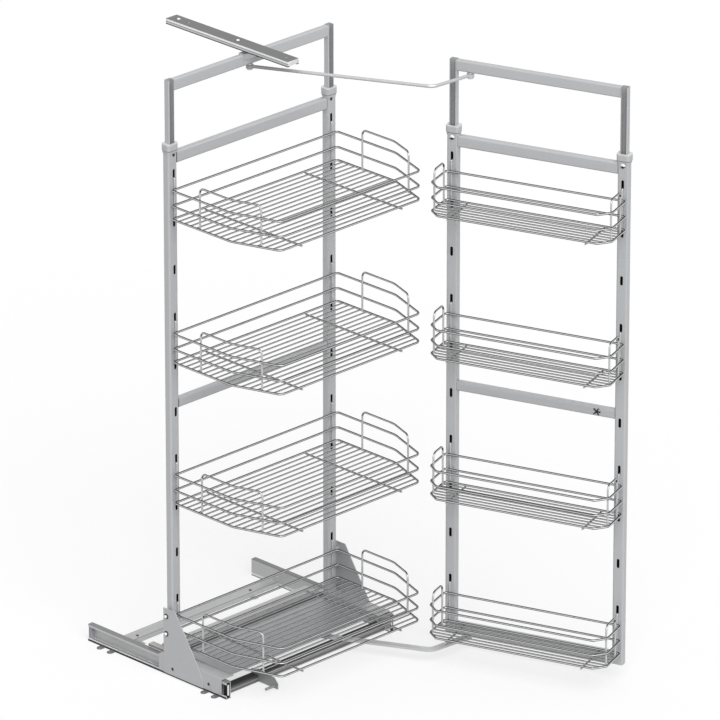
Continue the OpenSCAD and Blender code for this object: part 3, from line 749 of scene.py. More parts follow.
@dataclass
class SubAssembly:
    """What the sub-assemblies share: dressing nodes and adding pieces.

    Sizes are in millimetres, turns in degrees and spins in radians.
    """

    palette: Palette

    weld_gap = 0.001
    flat_turn = 0.5
    sharp_turn = 50.0
    smooth_turn = 32.0
    edge_segments = 2
    face_weight = 100

    def dress(self, finish: Finish, names: Iterable[str], edge: Edge = Edge.TUBE) -> None:
        """Gives nodes a finish, broken edges and smooth bends.

        Args:
            finish: The finish to give.
            names: The nodes' names.
            edge: How far their sharp edges are broken.
        """
        for name in names:
            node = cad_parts[name]
            node.data.materials.clear()
            node.data.materials.append(finish.material())
            self.smooth(node)
            if edge is not Edge.NONE:
                self.break_edges(node, edge)
            log.info("%s dressed in %s", name, finish.name)

    def break_edges(self, node: bpy.types.Object, edge: Edge) -> None:
        """Breaks a node's sharp edges with modifiers, which leave its mesh as it is.

        Args:
            node: The node to work on.
            edge: How far the edges are broken.
        """
        weld = node.modifiers.new("weld", "WELD")
        weld.merge_threshold = self.weld_gap * MM
        flat = node.modifiers.new("flat", "DECIMATE")
        flat.decimate_type = "DISSOLVE"
        flat.angle_limit = math.radians(self.flat_turn)
        broken = node.modifiers.new("edge", "BEVEL")
        broken.width = edge.value * MM
        broken.segments = self.edge_segments
        broken.limit_method = "ANGLE"
        broken.angle_limit = math.radians(self.sharp_turn)
        even = node.modifiers.new("even", "WEIGHTED_NORMAL")
        even.mode = "FACE_AREA"
        even.weight = self.face_weight
        even.keep_sharp = True

    def smooth(self, piece: bpy.types.Object) -> None:
        """Shades a piece smooth, except across its sharp edges."""
        piece.data.shade_smooth()
        piece.data.set_sharp_from_angle(angle=math.radians(self.smooth_turn))

    def add(
        self,
        name: str,
        mesh: bpy.types.Mesh,
        finish: Finish,
        body: Body,
        slot: Slot,
        places: Optional[Iterable[Matrix]] = None,
    ) -> bpy.types.Object:
        """Adds a piece, which may be several copies of one mesh.

        Args:
            name: The piece's name.
            mesh: Its mesh in the shared frame, or the one to copy.
            finish: Its finish.
            body: The body that it rides on.
            slot: The record's finish named for the piece; not used.
            places: Where the copies go, or None for the mesh as it is.

        Returns:
            The new piece.
        """
        if places is not None:
            mesh = merged_mesh(name, mesh, places)
        mesh.materials.clear()
        mesh.materials.append(finish.material())
        piece = linked(name, mesh)
        self.smooth(piece)
        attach(piece, body.value)
        log.info("%s added on %s", name, body.value)
        return piece


@dataclass(frozen=True)
class PanScrew:
    """A pan-head screw with a cross recess, its head's seat at height zero, in millimetres."""

    head: float
    height: float
    recess: float
    shank: float = 0.0
    shank_length: float = 0.0
    foot: float = 0.97
    rim: float = 0.35
    swell: float = 0.7
    blade: float = 0.24
    chamfer: float = 0.1
    crown_turns: Sequence[float] = (0.0, 15.0, 30.0, 45.0, 60.0, 75.0)

    def mesh(self, name: str) -> bpy.types.Mesh:
        """Builds the screw.

        Args:
            name: The mesh's name.

        Returns:
            The screw's mesh, its axis along Z.
        """
        radius, dome = self.head / 2, 1 - self.rim
        crown = [
            (radius * math.cos(a) ** self.swell, self.height * (self.rim + dome * math.sin(a)))
            for a in map(math.radians, self.crown_turns)
        ]
        profile = [(radius * self.foot, 0.0), *crown]
        if self.shank_length:
            cut = self.shank * self.chamfer
            profile = [
                (self.shank / 2 - cut, -self.shank_length),
                (self.shank / 2, -self.shank_length + cut),
                (self.shank / 2, 0.0),
                *profile,
            ]
        body = turned_mesh(name, [(r * MM, z * MM) for r, z in profile])
        arm, deep = self.recess * self.blade * MM, self.height * MM
        long = self.recess * MM
        blades = [
            block_mesh(f"{name}_blade", [((0, 0, deep), (wide, thick, deep))])
            for wide, thick in ((long, arm), (arm, long))
        ]
        return carved_mesh(body, blades)


# Painted highlight and shade on the wire by how its skin faces, from straight down to straight up: painted
# shade on the underside, a painted highlight on the flank, painted shade on the crown
WIRE_PAINTED_SHADING = Bands(
    Axis.Z,
    -1.0,
    1.0,
    (
        (0.0, grey(0.02)),
        (0.38, grey(0.02)),
        (0.47, grey(0.56)),
        (0.76, grey(0.56)),
        (0.85, grey(0.05)),
        (1.0, grey(0.04)),
    ),
)


@dataclass
class Palette:
    """The finishes that the sub-assemblies share."""

    paint: PowderCoat = PowderCoat("silver_powder_coat", (0.50, 0.505, 0.515))
    zinc: BrightZinc = BrightZinc("bright_zinc", (0.56, 0.565, 0.575))
    rod: BrightZinc = BrightZinc("rod_zinc", (0.54, 0.545, 0.55), metallic=0.45, roughness=0.36)
    dull: BrightZinc = BrightZinc("dull_zinc", (0.33, 0.335, 0.34), metallic=0.4, roughness=0.5)
    bright: BrightZinc = BrightZinc("screw_zinc", (0.82, 0.82, 0.825), metallic=0.5)
    dark_steel: BrightZinc = BrightZinc("dark_steel", (0.10, 0.10, 0.105), metallic=0.7, roughness=0.4)
    # Wire with painted highlight and shade by how its skin faces.
    wire: PlatedWire = PlatedWire("plated_wire", grey(0.56), bands=WIRE_PAINTED_SHADING)
    black: MouldedPlastic = MouldedPlastic(
        "black_plastic", (0.005, 0.005, 0.0055), roughness=0.6, gloss=0.15
    )
    white: MouldedPlastic = MouldedPlastic("white_plastic", (0.80, 0.80, 0.79), roughness=0.4)
    # Painted highlight for the ceiling guide's plugs.
    lid: MouldedPlastic = MouldedPlastic("bright_plug", (0.92, 0.92, 0.915), roughness=0.35)
    # Painted shade inside the extensions' channels.
    channel_inside_shade: Colour = (0.40, 0.405, 0.41)

    @staticmethod
    def collar(name: str, node: str) -> PowderCoat:
        """Grey plastic with a painted shadow under the rim and a painted highlight along the top edge.

        Args:
            name: The finish's name.
            node: The collar that it is for.

        Returns:
            The finish, fitted to the collar's height.
        """
        # Painted shadow in the band under the rim, painted highlight in the top band.
        tones = ((0.21, grey(0.50)), (0.29, grey(0.10)), (0.88, grey(0.50)), (1.0, grey(0.68)))
        bands = Bands.over(node, Axis.Z, tones, 0.02)
        return PowderCoat(name, grey(0.50), metallic=0.1, roughness=0.48, bands=bands)

    def channel(self, name: str, hollow: Hollow, post: str) -> PowderCoat:
        """Paint for an extension's channels, with painted shade inside them and where they are sunk in
        their posts.
        """
        return PowderCoat(
            name,
            self.paint.colour,
            hollow=hollow,
            inside=self.channel_inside_shade,
            sunk_below=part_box(post)[1].z,
        )


@dataclass
class CabinetRails(SubAssembly):
    """What is fixed to the cabinet: floor rails, floor bars, catch and ceiling guide."""

    foot_ys: Sequence[float] = (-167.0, -134.0, 167.0, 200.0)
    foot_half: float = 7.6
    lip_width: float = 1.2
    lip_lift: float = 0.2
    lip_round: float = 0.3
    bar_screw: PanScrew = PanScrew(head=6.5, height=2.2, recess=4.0)
    bar_screw_x: float = 176.0
    bar_screw_spin: float = 0.3
    bar_groove: float = 3.0
    bar_tab: Sequence[float] = (12.0, 15.0, 1.6)
    tab_round: float = 0.5
    tab_lift: float = 0.1
    guide_wall: float = 1.6
    end_plate: float = 1.2
    end_plate_round: float = 0.4
    end_plate_in: float = 1.0
    plug_backs: Sequence[float] = (22.0, 208.5)
    plug: float = 9.0
    plug_forward: float = 0.3
    plug_spins: Sequence[float] = (0.0, 0.4, 0.8, 1.1, 1.35)
    plug_base: float = 0.3
    plug_rise: float = 1.5
    socket_rim: float = 1.25
    socket_heights: Sequence[float] = (-0.1, 0.2, 0.4)

    def build(self) -> None:
        """Dresses the rails and adds trim, tabs, an end plate and plugs."""
        finish = self.palette
        self.dress(self.rail_finish(), ("floor_rail_left", "floor_rail_right"), Edge.SHEET)
        self.dress(finish.dull, ("catch_plate", "catch_pin"), Edge.SHEET)
        self.dress(finish.black, ("rail_strips",), Edge.SHEET)
        self.dress(self.block_finish(), ("rail_end_blocks",), Edge.MOULDED)
        self.dress(finish.white, ("rail_bumpers",), Edge.MOULDED)
        self.dress(self.front_bar_finish(), ("front_floor_bar",), Edge.SHEET)
        self.dress(self.rear_bar_finish(), ("rear_floor_bar",), Edge.SHEET)
        self.dress(self.guide_finish(), ("ceiling_guide_rail",), Edge.SHEET)
        self.strip_lips()
        self.rear_bar_fixings()
        self.guide_end()
        self.guide_plugs()

    @staticmethod
    def rail_finish() -> BrightZinc:
        """Zinc, darker at the foot, with a painted highlight on the lips and painted shade on the top."""
        # Darker foot band, painted highlight on the lips, painted shade on the top.
        tones = ((0.054, grey(0.20)), (0.18, grey(0.80)), (0.96, grey(0.54)), (1.0, grey(0.22)))
        return BrightZinc(
            "rail_zinc",
            grey(0.56),
            metallic=0.30,
            roughness=0.45,
            grain=(1.0, 0.03, 1.0),
            bands=Bands.over("floor_rail_left", Axis.Z, tones, 0.01),
        )

    @staticmethod
    def block_finish() -> MouldedPlastic:
        """Black at the front of the rails and grey at their rear."""
        tones = ((0.5, grey(0.005)), (1.0, (0.36, 0.35, 0.40)))
        return MouldedPlastic(
            "end_block_plastic",
            grey(0.2),
            roughness=0.6,
            bands=Bands.over("rail_end_blocks", Axis.Y, tones, 0.01),
            gloss=0.15,
        )

    @staticmethod
    def front_bar_finish() -> RolledSheet:
        """Dark sheet with a painted highlight on the ridge halfway up its front and painted shade along its
        top.
        """
        # Painted highlight in the ridge band, painted shade in the top band.
        tones = ((0.36, grey(0.17)), (0.58, grey(0.34)), (0.95, grey(0.11)), (1.0, grey(0.05)))
        return RolledSheet(
            "front_bar_sheet", grey(0.15), bands=Bands.over("front_floor_bar", Axis.Z, tones, 0.08)
        )

    @staticmethod
    def rear_bar_finish() -> PowderCoat:
        """Paint with a thin light line at the bar's front edge, a dark band behind it and a darker band
        along its rear edge.
        """
        tones = ((0.012, grey(0.58)), (0.11, grey(0.24)), (0.93, grey(0.52)), (1.0, grey(0.30)))
        return PowderCoat(
            "rear_bar_paint", grey(0.5), bands=Bands.over("rear_floor_bar", Axis.Y, tones, 0.004)
        )

    @staticmethod
    def guide_finish() -> RolledSheet:
        """Dark on top and bright on the sides, with a painted highlight along the sides' upper part and
        painted shade along their lower edge.
        """
        # Painted shade in the lowest band, painted highlight in the band below the top.
        tones = (
            (0.17, grey(0.03)),
            (0.44, grey(0.60)),
            (0.62, grey(0.38)),
            (0.94, grey(0.97)),
            (1.0, grey(0.14)),
        )
        return RolledSheet(
            "guide_sheet",
            grey(0.3),
            metallic=0.2,
            roughness=0.4,
            grain=(1.0, 0.02, 1.0),
            bands=Bands.over("ceiling_guide_rail", Axis.Z, tones, 0.03),
        )

    def strip_lips(self) -> None:
        """Runs the black strips' lower lips along the rails, between the feet; their black reaches down to
        the floor and is partly painted contact shadow.
        """
        strip_low, strip_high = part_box("rail_strips")
        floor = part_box("floor_rail_left")[0].z + self.lip_lift * MM
        ends = [strip_low.y]
        for y in self.foot_ys:
            ends += [(y - self.foot_half) * MM, (y + self.foot_half) * MM]
        ends.append(strip_high.y)
        width, height = self.lip_width * MM, strip_low.z - floor
        boxes = [
            (
                (side * (strip_high.x - width / 2), (start + end) / 2, floor + height / 2),
                (width, end - start, height),
            )
            for start, end in zip(ends[::2], ends[1::2])
            for side in (-1, 1)
        ]
        # Black down to the floor: partly the strips' lips, partly painted contact shadow.
        lips = block_mesh("rail_strip_lips", boxes)
        round_edges(lips, self.lip_round * MM, segments=2, profile=0.0)
        self.add("rail_strip_lips", lips, self.palette.black, Body.CABINET, Slot.BLACK)

    def rear_bar_fixings(self) -> None:
        """Screws the rear bar down and gives it a small tab in front of each screw."""
        low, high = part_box("rear_floor_bar")
        groove = high.z - self.bar_groove * MM
        seats = [
            Vector((side * self.bar_screw_x * MM, (low.y + high.y) / 2, groove)) for side in (-1, 1)
        ]
        places = [upright(seat, UP, self.bar_screw_spin) for seat in seats]
        screw = self.bar_screw.mesh("rear_bar_screw")
        self.add("rear_bar_screws", screw, self.palette.dark_steel, Body.CABINET, Slot.ZINC, places)
        width, depth, thick = (size * MM for size in self.bar_tab)
        tab = block_mesh("rear_bar_tab", [((0, 0, thick / 2), (width, depth, thick))])
        round_edges(tab, self.tab_round * MM)
        foot = low.z + self.tab_lift * MM
        places = [Matrix.Translation((seat.x - width, low.y - depth / 2, foot)) for seat in seats]
        self.add("rear_bar_tabs", tab, self.palette.paint, Body.CABINET, Slot.SILVER, places)

    def guide_end(self) -> None:
        """Closes the ceiling guide's front end with a thin bright plate."""
        low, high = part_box("ceiling_guide_rail")
        walls = 2 * self.guide_wall * MM
        size = (high.x - low.x - walls, self.end_plate * MM, high.z - low.z - walls)
        plate = block_mesh("guide_end_plate", [((0, 0, 0), size)])
        round_edges(plate, self.end_plate_round * MM)
        middle = (low + high) / 2
        middle.y = low.y + self.end_plate_in * MM
        plate.transform(Matrix.Translation(middle))
        self.add("guide_end_plate", plate, self.palette.bright, Body.CABINET, Slot.ZINC)

    def guide_plugs(self) -> None:
        """Fills the ceiling guide's wide holes with painted light: black sockets as the shade in the holes
        and bright domes, set forward, as the highlight on their near edge.
        """
        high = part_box("ceiling_guide_rail")[1]
        seats = [Vector((0.0, high.y - back * MM, high.z)) for back in self.plug_backs]
        rim = self.plug / 2 * MM
        radii = (rim * self.socket_rim, rim * self.socket_rim, rim)
        ring = [(radius, height * MM) for radius, height in zip(radii, self.socket_heights)]
        places = [Matrix.Translation(seat) for seat in seats]
        # Painted shade: a black socket in each hole.
        socket = turned_mesh("guide_socket", ring)
        self.add("guide_sockets", socket, self.palette.black, Body.CABINET, Slot.BLACK, places)
        # Painted highlight: a bright dome, set forward in its socket.
        dome = [
            (rim * math.cos(a), (self.plug_base + self.plug_rise * math.sin(a)) * MM)
            for a in self.plug_spins
        ]
        forward = Vector((0.0, -self.plug_forward * rim, 0.0))
        places = [Matrix.Translation(seat + forward) for seat in seats]
        plug = turned_mesh("guide_plug", dome)
        self.add("guide_plugs", plug, self.palette.lid, Body.CABINET, Slot.WHITE, places)


@dataclass
class InnerFrame(SubAssembly):
    """The sliding frame: carriages, pan, gussets, slotted posts, bars and collars."""

    post_size: tuple[float, float, float] = (26.0, 19.0, 4.0)
    pan_colour: Colour = (0.40, 0.41, 0.42)
    seam: Colour = grey(0.06)
    screw: PanScrew = PanScrew(head=8.0, height=5.0, recess=3.6, shank=6.0, shank_length=14.0)
    screw_spin: float = 0.5
    washer: float = 13.0
    washer_height: float = 0.9
    washer_sides: int = 32
    washer_profile: Sequence[tuple[float, float]] = ((0.96, 0.0), (1.0, 0.3), (1.0, 0.7), (0.94, 1.0))
    plain_head: float = 11.0
    cap_profile: Sequence[tuple[float, float]] = ((1.5, -0.1), (1.5, 0.3), (1.3, 0.6), (0.5, 0.5))
    tail: Sequence[float] = (16.0, 48.0, 6.4)
    tail_from: Sequence[float] = (-240.0, 44.0, 41.3)
    tail_round: float = 1.2
    rivets: Sequence[tuple[float, float]] = ((-137.0, 35.0), (45.0, 35.0))
    rivet_profile: Sequence[tuple[float, float]] = ((2.2, -0.2), (2.2, 0.3), (1.6, 0.8), (0.6, 1.0))
    rivet_sides: int = 20

    def build(self) -> None:
        """Dresses the frame and adds its screws, caps, tail and rivets."""
        finish = self.palette
        self.dress(self.post_finish(), ("post_left", "post_right"))
        self.dress(self.bar_finish(), ("upper_bar", "middle_bar"), Edge.SHEET)
        plates = ("carriage_left", "carriage_right", "gusset_left", "gusset_right")
        self.dress(finish.paint, plates, Edge.SHEET)
        self.dress(finish.collar("collar_grey", "collar_left"), ("collar_left", "collar_right"))
        self.dress(self.pan_finish(), ("base_pan",), Edge.SHEET)
        self.dress(finish.black, ("clamp_screws",), Edge.NONE)
        self.dress(finish.dark_steel, ("roller_axles",), Edge.SHEET)
        self.dress(finish.zinc, ("gusset_spacers", "lower_pivot_pin"), Edge.SHEET)
        sides = ("left", "right")
        wheels = [f"{end}_roller_{side}" for end in ("front", "rear") for side in sides]
        self.dress(finish.white, wheels, Edge.MOULDED)
        self.gusset_screws()
        self.clamp_caps()
        self.carriage_tail()
        self.pan_rivets()

    def post_finish(self) -> PowderCoat:
        """Paint with painted shade inside the slotted posts."""
        hollow = Hollow.mirrored("post_right", [part * MM for part in self.post_size])
        return PowderCoat("post_powder_coat", self.palette.paint.colour, hollow=hollow)

    def bar_finish(self) -> PowderCoat:
        """Paint with a dark seam where a bar meets the posts."""
        tones = ((0.003, self.seam), (0.996, self.palette.paint.colour), (1.0, self.seam))
        return PowderCoat(
            "bar_powder_coat",
            self.palette.paint.colour,
            bands=Bands.over("upper_bar", Axis.X, tones, 0.0005),
        )

    def pan_finish(self) -> RolledSheet:
        """Rolled sheet with painted shade along the folds of its raised rear edge: a painted shadow at the
        foot of its front, a shaded front face and a dark line further back.
        """
        # Painted shadow at the fold's foot, painted shade on its front face and in a dark line.
        tones = (
            (0.735, self.pan_colour),
            (0.774, grey(0.14)),
            (0.815, grey(0.30)),
            (0.924, grey(0.44)),
            (0.940, grey(0.12)),
            (1.0, grey(0.50)),
        )
        return RolledSheet("pan_sheet", self.pan_colour, bands=Bands.over("base_pan", Axis.Y, tones, 0.002))

    def clamp_caps(self) -> None:
        """Caps the clamping screws' sockets in black, which stands in for the shade in the recessed
        sockets.
        """
        low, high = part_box("clamp_screws")
        radius = (high.z - low.z) / 2
        profile = [(radius * share, height * MM) for share, height in self.cap_profile]
        seats = [
            Vector((side * (high.x - radius), low.y, (low.z + high.z) / 2)) for side in (-1, 1)
        ]
        places = [upright(seat, FORWARD) for seat in seats]
        # Painted shade: black caps in the sockets.
        cap = turned_mesh("clamp_cap", profile)
        self.add("clamp_caps", cap, self.palette.black, Body.FRAME, Slot.BLACK, places)

    def gusset_screws(self) -> None:
        """Puts a domed screw where each plain one is, on a black washer that stands in for the shadow round
        its head.
        """
        low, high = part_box("gusset_screws")
        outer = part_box("gusset_right")[1].x
        middle = (low + high) / 2
        lift = (high.z - low.z - self.plain_head * MM) / 2
        rim, thick = self.washer / 2 * MM, self.washer_height * MM
        seats = [
            (Vector((side * outer, middle.y, middle.z + row * lift)), Vector((side, 0, 0)))
            for side in (-1, 1)
            for row in (-1, 1)
        ]
        heads = [upright(seat + axis * thick, axis, self.screw_spin) for seat, axis in seats]
        screw = self.screw.mesh("gusset_screw")
        piece = self.add("gusset_pan_screws", screw, self.palette.bright, Body.FRAME, Slot.ZINC, heads)
        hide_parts("gusset_screws")
        # Painted shadow: a black washer under each head.
        profile = [(rim * share, thick * level) for share, level in self.washer_profile]
        washer = turned_mesh("washer", profile, self.washer_sides)
        places = [upright(*seat) for seat in seats]
        self.add("gusset_washers", washer, self.palette.black, Body.FRAME, Slot.BLACK, places)

    def carriage_tail(self) -> None:
        """Adds the low block that reaches back from the left carriage beside its rail, with painted shade
        on its sides below a beige top.
        """
        width, length, height = (size * MM for size in self.tail)
        place = Vector(self.tail_from) * MM
        block = block_mesh("carriage_tail", [((0, 0, height / 2), (width, length, height))])
        round_edges(block, self.tail_round * MM)
        block.transform(Matrix.Translation(place))
        # Painted shade on the sides; the top keeps its beige.
        tones = ((0.86, grey(0.25)), (1.0, (0.50, 0.49, 0.465)))
        bands = Bands(Axis.Z, place.z, place.z + height, stepped(tones, 0.05))
        finish = MouldedPlastic("tail_plastic", grey(0.4), roughness=0.55, bands=bands)
        self.add("carriage_tail", block, finish, Body.FRAME, Slot.GREY)

    def pan_rivets(self) -> None:
        """Sets two small dark rivets in the pan's raised rear edge."""
        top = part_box("base_pan")[1].z
        profile = [(radius * MM, height * MM) for radius, height in self.rivet_profile]
        rivet = turned_mesh("pan_rivet", profile, self.rivet_sides)
        places = [Matrix.Translation((x * MM, y * MM, top)) for x, y in self.rivets]
        self.add("pan_rivets", rivet, self.palette.dark_steel, Body.FRAME, Slot.ZINC, places)


@dataclass
class InnerExtension(SubAssembly):
    """The height extension: channel posts, top bar and the ceiling roller."""

    channel_corner: float = 2.0

    def build(self) -> None:
        """Dresses the extension."""
        finish = self.palette
        low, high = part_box("extension_right")
        size = (high.x - low.x, high.y - low.y, self.channel_corner * MM)
        hollow = Hollow.mirrored("extension_right", size)
        # Painted shade inside the channels and where they sit in the posts.
        channel = finish.channel("channel_powder_coat", hollow, "post_right")
        self.dress(channel, ("extension_left", "extension_right"))
        self.dress(finish.paint, ("top_bar",))
        self.dress(finish.zinc, ("guide_saddle", "guide_stud", "upper_pivot_pin"), Edge.SHEET)
        self.dress(finish.white, ("guide_roller",), Edge.MOULDED)


@dataclass
class SteeringRods(SubAssembly):
    """The two cranked rods that turn the door frame."""

    def build(self) -> None:
        """Dresses the rods, the upper one with painted shadow at its inner end, under the guide."""
        rod = self.palette.rod
        # Painted shadow near the upper rod's inner end.
        tones = ((0.04, grey(0.30)), (0.14, grey(0.34)), (1.0, rod.colour))
        bands = Bands.over("upper_rod", Axis.X, tones, 0.06)
        self.dress(replace(rod, name="upper_rod_zinc", bands=bands), ("upper_rod",), Edge.SHEET)
        self.dress(rod, ("lower_rod",), Edge.SHEET)


@dataclass
class DoorFrame(SubAssembly):
    """The frame on the cabinet door, with its own height extension."""

    post_size: tuple[float, float, float] = (26.0, 19.0, 4.0)
    channel_size: tuple[float, float, float] = (17.0, 15.0, 2.0)
    clamp: PanScrew = PanScrew(head=11.0, height=3.2, recess=4.6)
    clamp_drop: float = 9.0
    clamp_spin: float = 0.4
    star_at: float = 350.0
    star_arm: Sequence[float] = (10.5, 3.2, 1.2)
    star_round: float = 0.35
    star_turns: Sequence[float] = (0.0, 58.0, 136.0, 223.0, 306.0)
    bar_face: float = 8.5
    hinge_post: Vector = field(init=False)
    free_post: Vector = field(init=False)

    def __post_init__(self) -> None:
        """Reads the two posts' places."""
        self.hinge_post = sum(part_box("door_post_hinge_side"), Vector()) / 2
        self.free_post = sum(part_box("door_post_free_side"), Vector()) / 2

    @property
    def along(self) -> Vector:
        """The direction from the hinge side to the free side."""
        return (self.free_post - self.hinge_post).normalized()

    @property
    def facing(self) -> Vector:
        """The direction that the baskets look in."""
        return self.along.cross(UP)

    @property
    def turn(self) -> float:
        """How far the frame is turned from the X axis, in radians."""
        return math.atan2(self.along.y, self.along.x)

    @property
    def middle(self) -> Vector:
        """The point halfway between the posts."""
        return (self.hinge_post + self.free_post) / 2

    def hollow(self, size: tuple[float, float, float]) -> Hollow:
        """The inside of the two upright tubes.

        Args:
            size: A tube's width, depth and corner radius in millimetres.

        Returns:
            The hollow of both.
        """
        apart = (self.free_post - self.hinge_post).length / 2
        foot = Vector((self.middle.x, self.middle.y, 0.0))
        return Hollow(foot, self.turn, apart, *(part * MM for part in size))

    def build(self) -> None:
        """Dresses the door frame and adds its visible screws."""
        finish = self.palette
        # Painted shade inside the posts and the channels.
        hollow = self.hollow(self.post_size)
        posts = PowderCoat("door_post_powder_coat", finish.paint.colour, hollow=hollow)
        hollow = self.hollow(self.channel_size)
        channels = finish.channel("door_channel_powder_coat", hollow, "door_post_hinge_side")
        self.dress(posts, ("door_post_hinge_side", "door_post_free_side"))
        self.dress(channels, ("door_extension_hinge_side", "door_extension_free_side"))
        self.dress(finish.paint, [f"door_{bar}_bar" for bar in ("upper", "middle", "bottom", "top")])
        self.dress(finish.collar("door_collar_grey", "door_collars"), ("door_collars",))
        self.dress(finish.zinc, ("door_clamp_screws",), Edge.NONE)
        self.dress(finish.zinc, ("door_lower_pin", "door_upper_pin"), Edge.SHEET)
        self.clamp_heads()
        self.middle_bar_star()

    def clamp_heads(self) -> None:
        """Puts a domed head on each clamping screw, below the collars, with a painted reflection: black on
        its lower part and a painted highlight on its upper part.
        """
        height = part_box("door_post_hinge_side")[1].z - self.clamp_drop * MM
        front = self.facing * self.post_size[1] / 2 * MM
        places = [
            upright(Vector((post.x, post.y, height)) + front, self.facing, self.clamp_spin)
            for post in (self.hinge_post, self.free_post)
        ]
        reach = self.clamp.head / 2 * MM
        # Painted reflection: black on the head's lower part, painted highlight on its upper part.
        tones = ((0.42, grey(0.012)), (1.0, grey(0.88)))
        bands = Bands(Axis.Z, height - reach, height + reach, stepped(tones, 0.1))
        finish = BrightZinc("clamp_head_zinc", grey(0.6), metallic=0.3, roughness=0.35, bands=bands)
        head = self.clamp.mesh("clamp_head")
        self.add("door_clamp_heads", head, finish, Body.DOOR, Slot.ZINC, places)

    def middle_bar_star(self) -> None:
        """Presses the black star-shaped fastener on the middle bar, near its free end."""
        low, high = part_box("door_middle_bar")
        seat = self.hinge_post + self.along * self.star_at * MM + self.facing * self.bar_face * MM
        seat.z = (low.z + high.z) / 2
        length, width, thick = (size * MM for size in self.star_arm)
        arm = block_mesh("star_arm", [((0, 0, thick / 2), (length, width, thick))])
        round_edges(arm, self.star_round * MM)
        arm.transform(Matrix.Translation((length / 2 - width / 3, 0, 0)))
        axes = Matrix((self.along, UP, self.facing)).transposed().to_4x4()
        place = Matrix.Translation(seat) @ axes
        arms = [place @ Matrix.Rotation(math.radians(turn), 4, "Z") for turn in self.star_turns]
        self.add("middle_bar_star", arm, self.palette.black, Body.DOOR, Slot.BLACK, arms)


@dataclass(frozen=True)
class BasketPlan:
    """One kind of basket: the sizes that its welds follow, in millimetres."""

    kind: str
    body: Body
    width: float
    depth: float
    taper: tuple[float, float]
    pitch: float
    guard_depths: tuple[float, float]
    support_in: float
    hook_x: float
    rear: float = -25.2
    hook_y: float = -21.3
    rail: float = 5.0
    guard: float = 4.5
    support: float = 4.5
    weld: float = 0.6
    last_wire: float = 0.4
    rises: tuple[float, float, float] = (0.0, 31.0, 67.0)
    support_bead: float = 4.4
    floor_bead: float = 4.2
    floor_bead_drop: float = 0.4
    rail_bead: float = 5.0
    rail_bead_lift: float = 0.3
    guard_bead: float = 4.6
    guard_bead_in: float = 0.2
    hook_bead: float = 4.8

    def reach(self, y: float) -> float:
        """Half the basket's width at a depth, which is negative towards the front."""
        edge, shoulder = self.width / 2, self.rear - self.depth + self.taper[1]
        return edge if y > shoulder else edge - (shoulder - y) / self.taper[1] * self.taper[0]

    def floor_lines(self) -> list[float]:
        """The depths of the floor wires."""
        count = math.floor(self.depth / self.pitch - self.last_wire)
        return [self.rear - i * self.pitch for i in range(1, count + 1)]

    def welds(self) -> list[tuple[Vector, float]]:
        """The welds of one basket, above the lowest rail's middle.

        Returns:
            Each weld's place and its width, in millimetres.
        """
        seat = self.weld - self.rail / 2
        inset = (self.rail + self.guard) / 2 - self.weld
        hook_middle = (self.hook_y + self.rear) / 2
        found = []
        for side in (-1, 1):
            support_x = side * (self.width / 2 - self.support_in)
            for y in self.floor_lines():
                rail_x = side * (self.reach(y) - self.rail / 2)
                found.append((Vector((support_x, y, seat)), self.support_bead))
                found.append((Vector((rail_x, y, -self.floor_bead_drop)), self.floor_bead))
            for y in (self.rear, self.rear - self.depth):
                z = self.rail_bead_lift - self.rail / 2
                found.append((Vector((support_x, y, z)), self.rail_bead))
            for y in (self.rear - depth for depth in self.guard_depths):
                x = side * (self.reach(y) - inset / 2 - self.guard_bead_in)
                found += [(Vector((x, y, rise)), self.guard_bead) for rise in self.rises]
            hook_x = side * self.hook_x
            found += [(Vector((hook_x, hook_middle, rise)), self.hook_bead) for rise in self.rises]
        return found


@dataclass
class WireBaskets(SubAssembly):
    """The eight welded wire baskets."""

    door: DoorFrame
    count: int = 4
    bead_profile: Sequence[tuple[float, float]] = (
        (0.18, -0.46),
        (0.42, -0.28),
        (0.5, 0.0),
        (0.42, 0.28),
        (0.18, 0.46),
    )
    bead_sides: int = 8
    plans: Sequence[BasketPlan] = (
        BasketPlan(
            "rear",
            Body.FRAME,
            width=504.0,
            depth=297.0,
            taper=(39.0, 114.0),
            pitch=18.5,
            guard_depths=(83.25, 249.75),
            support_in=99.0,
            hook_x=240.0,
        ),
        BasketPlan(
            "door",
            Body.DOOR,
            width=428.0,
            depth=99.0,
            taper=(24.0, 24.0),
            pitch=14.0,
            guard_depths=(21.0, 70.5),
            support_in=50.0,
            hook_x=203.0,
        ),
    )

    def ground(self, plan: BasketPlan) -> Matrix:
        """Where a kind of basket hangs, at height zero.

        Args:
            plan: The kind of basket.

        Returns:
            The middle of the posts' rear plane, with X along the frame.
        """
        if plan.body is Body.FRAME:
            return Matrix.Identity(4)
        door = self.door
        middle = door.middle - door.facing * door.post_size[1] / 2 * MM
        return Matrix.Translation((middle.x, middle.y, 0.0)) @ Matrix.Rotation(door.turn, 4, "Z")

    def build(self) -> None:
        """Dresses the baskets and adds their welds."""
        for plan in self.plans:
            names = [f"{plan.kind}_basket_{i + 1}" for i in range(self.count)]
            self.dress(self.palette.wire, names, Edge.NONE)
            for name in names:
                self.weld_beads(plan, name)

    def weld_beads(self, plan: BasketPlan, name: str) -> None:
        """Adds a basket's weld beads as one piece.

        Args:
            plan: The kind of basket.
            name: Its node.
        """
        bead = turned_mesh("bead", self.bead_profile, self.bead_sides)
        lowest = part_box(name)[0].z / MM
        rail = Vector((0, 0, lowest + plan.support + plan.rail / 2 - plan.weld))
        ground = self.ground(plan)
        places = [
            ground @ Matrix.Translation((spot + rail) * MM) @ Matrix.Scale(size * MM, 4)
            for spot, size in plan.welds()
        ]
        self.add(f"{name}_welds", bead, self.palette.wire, plan.body, Slot.WIRE, places)


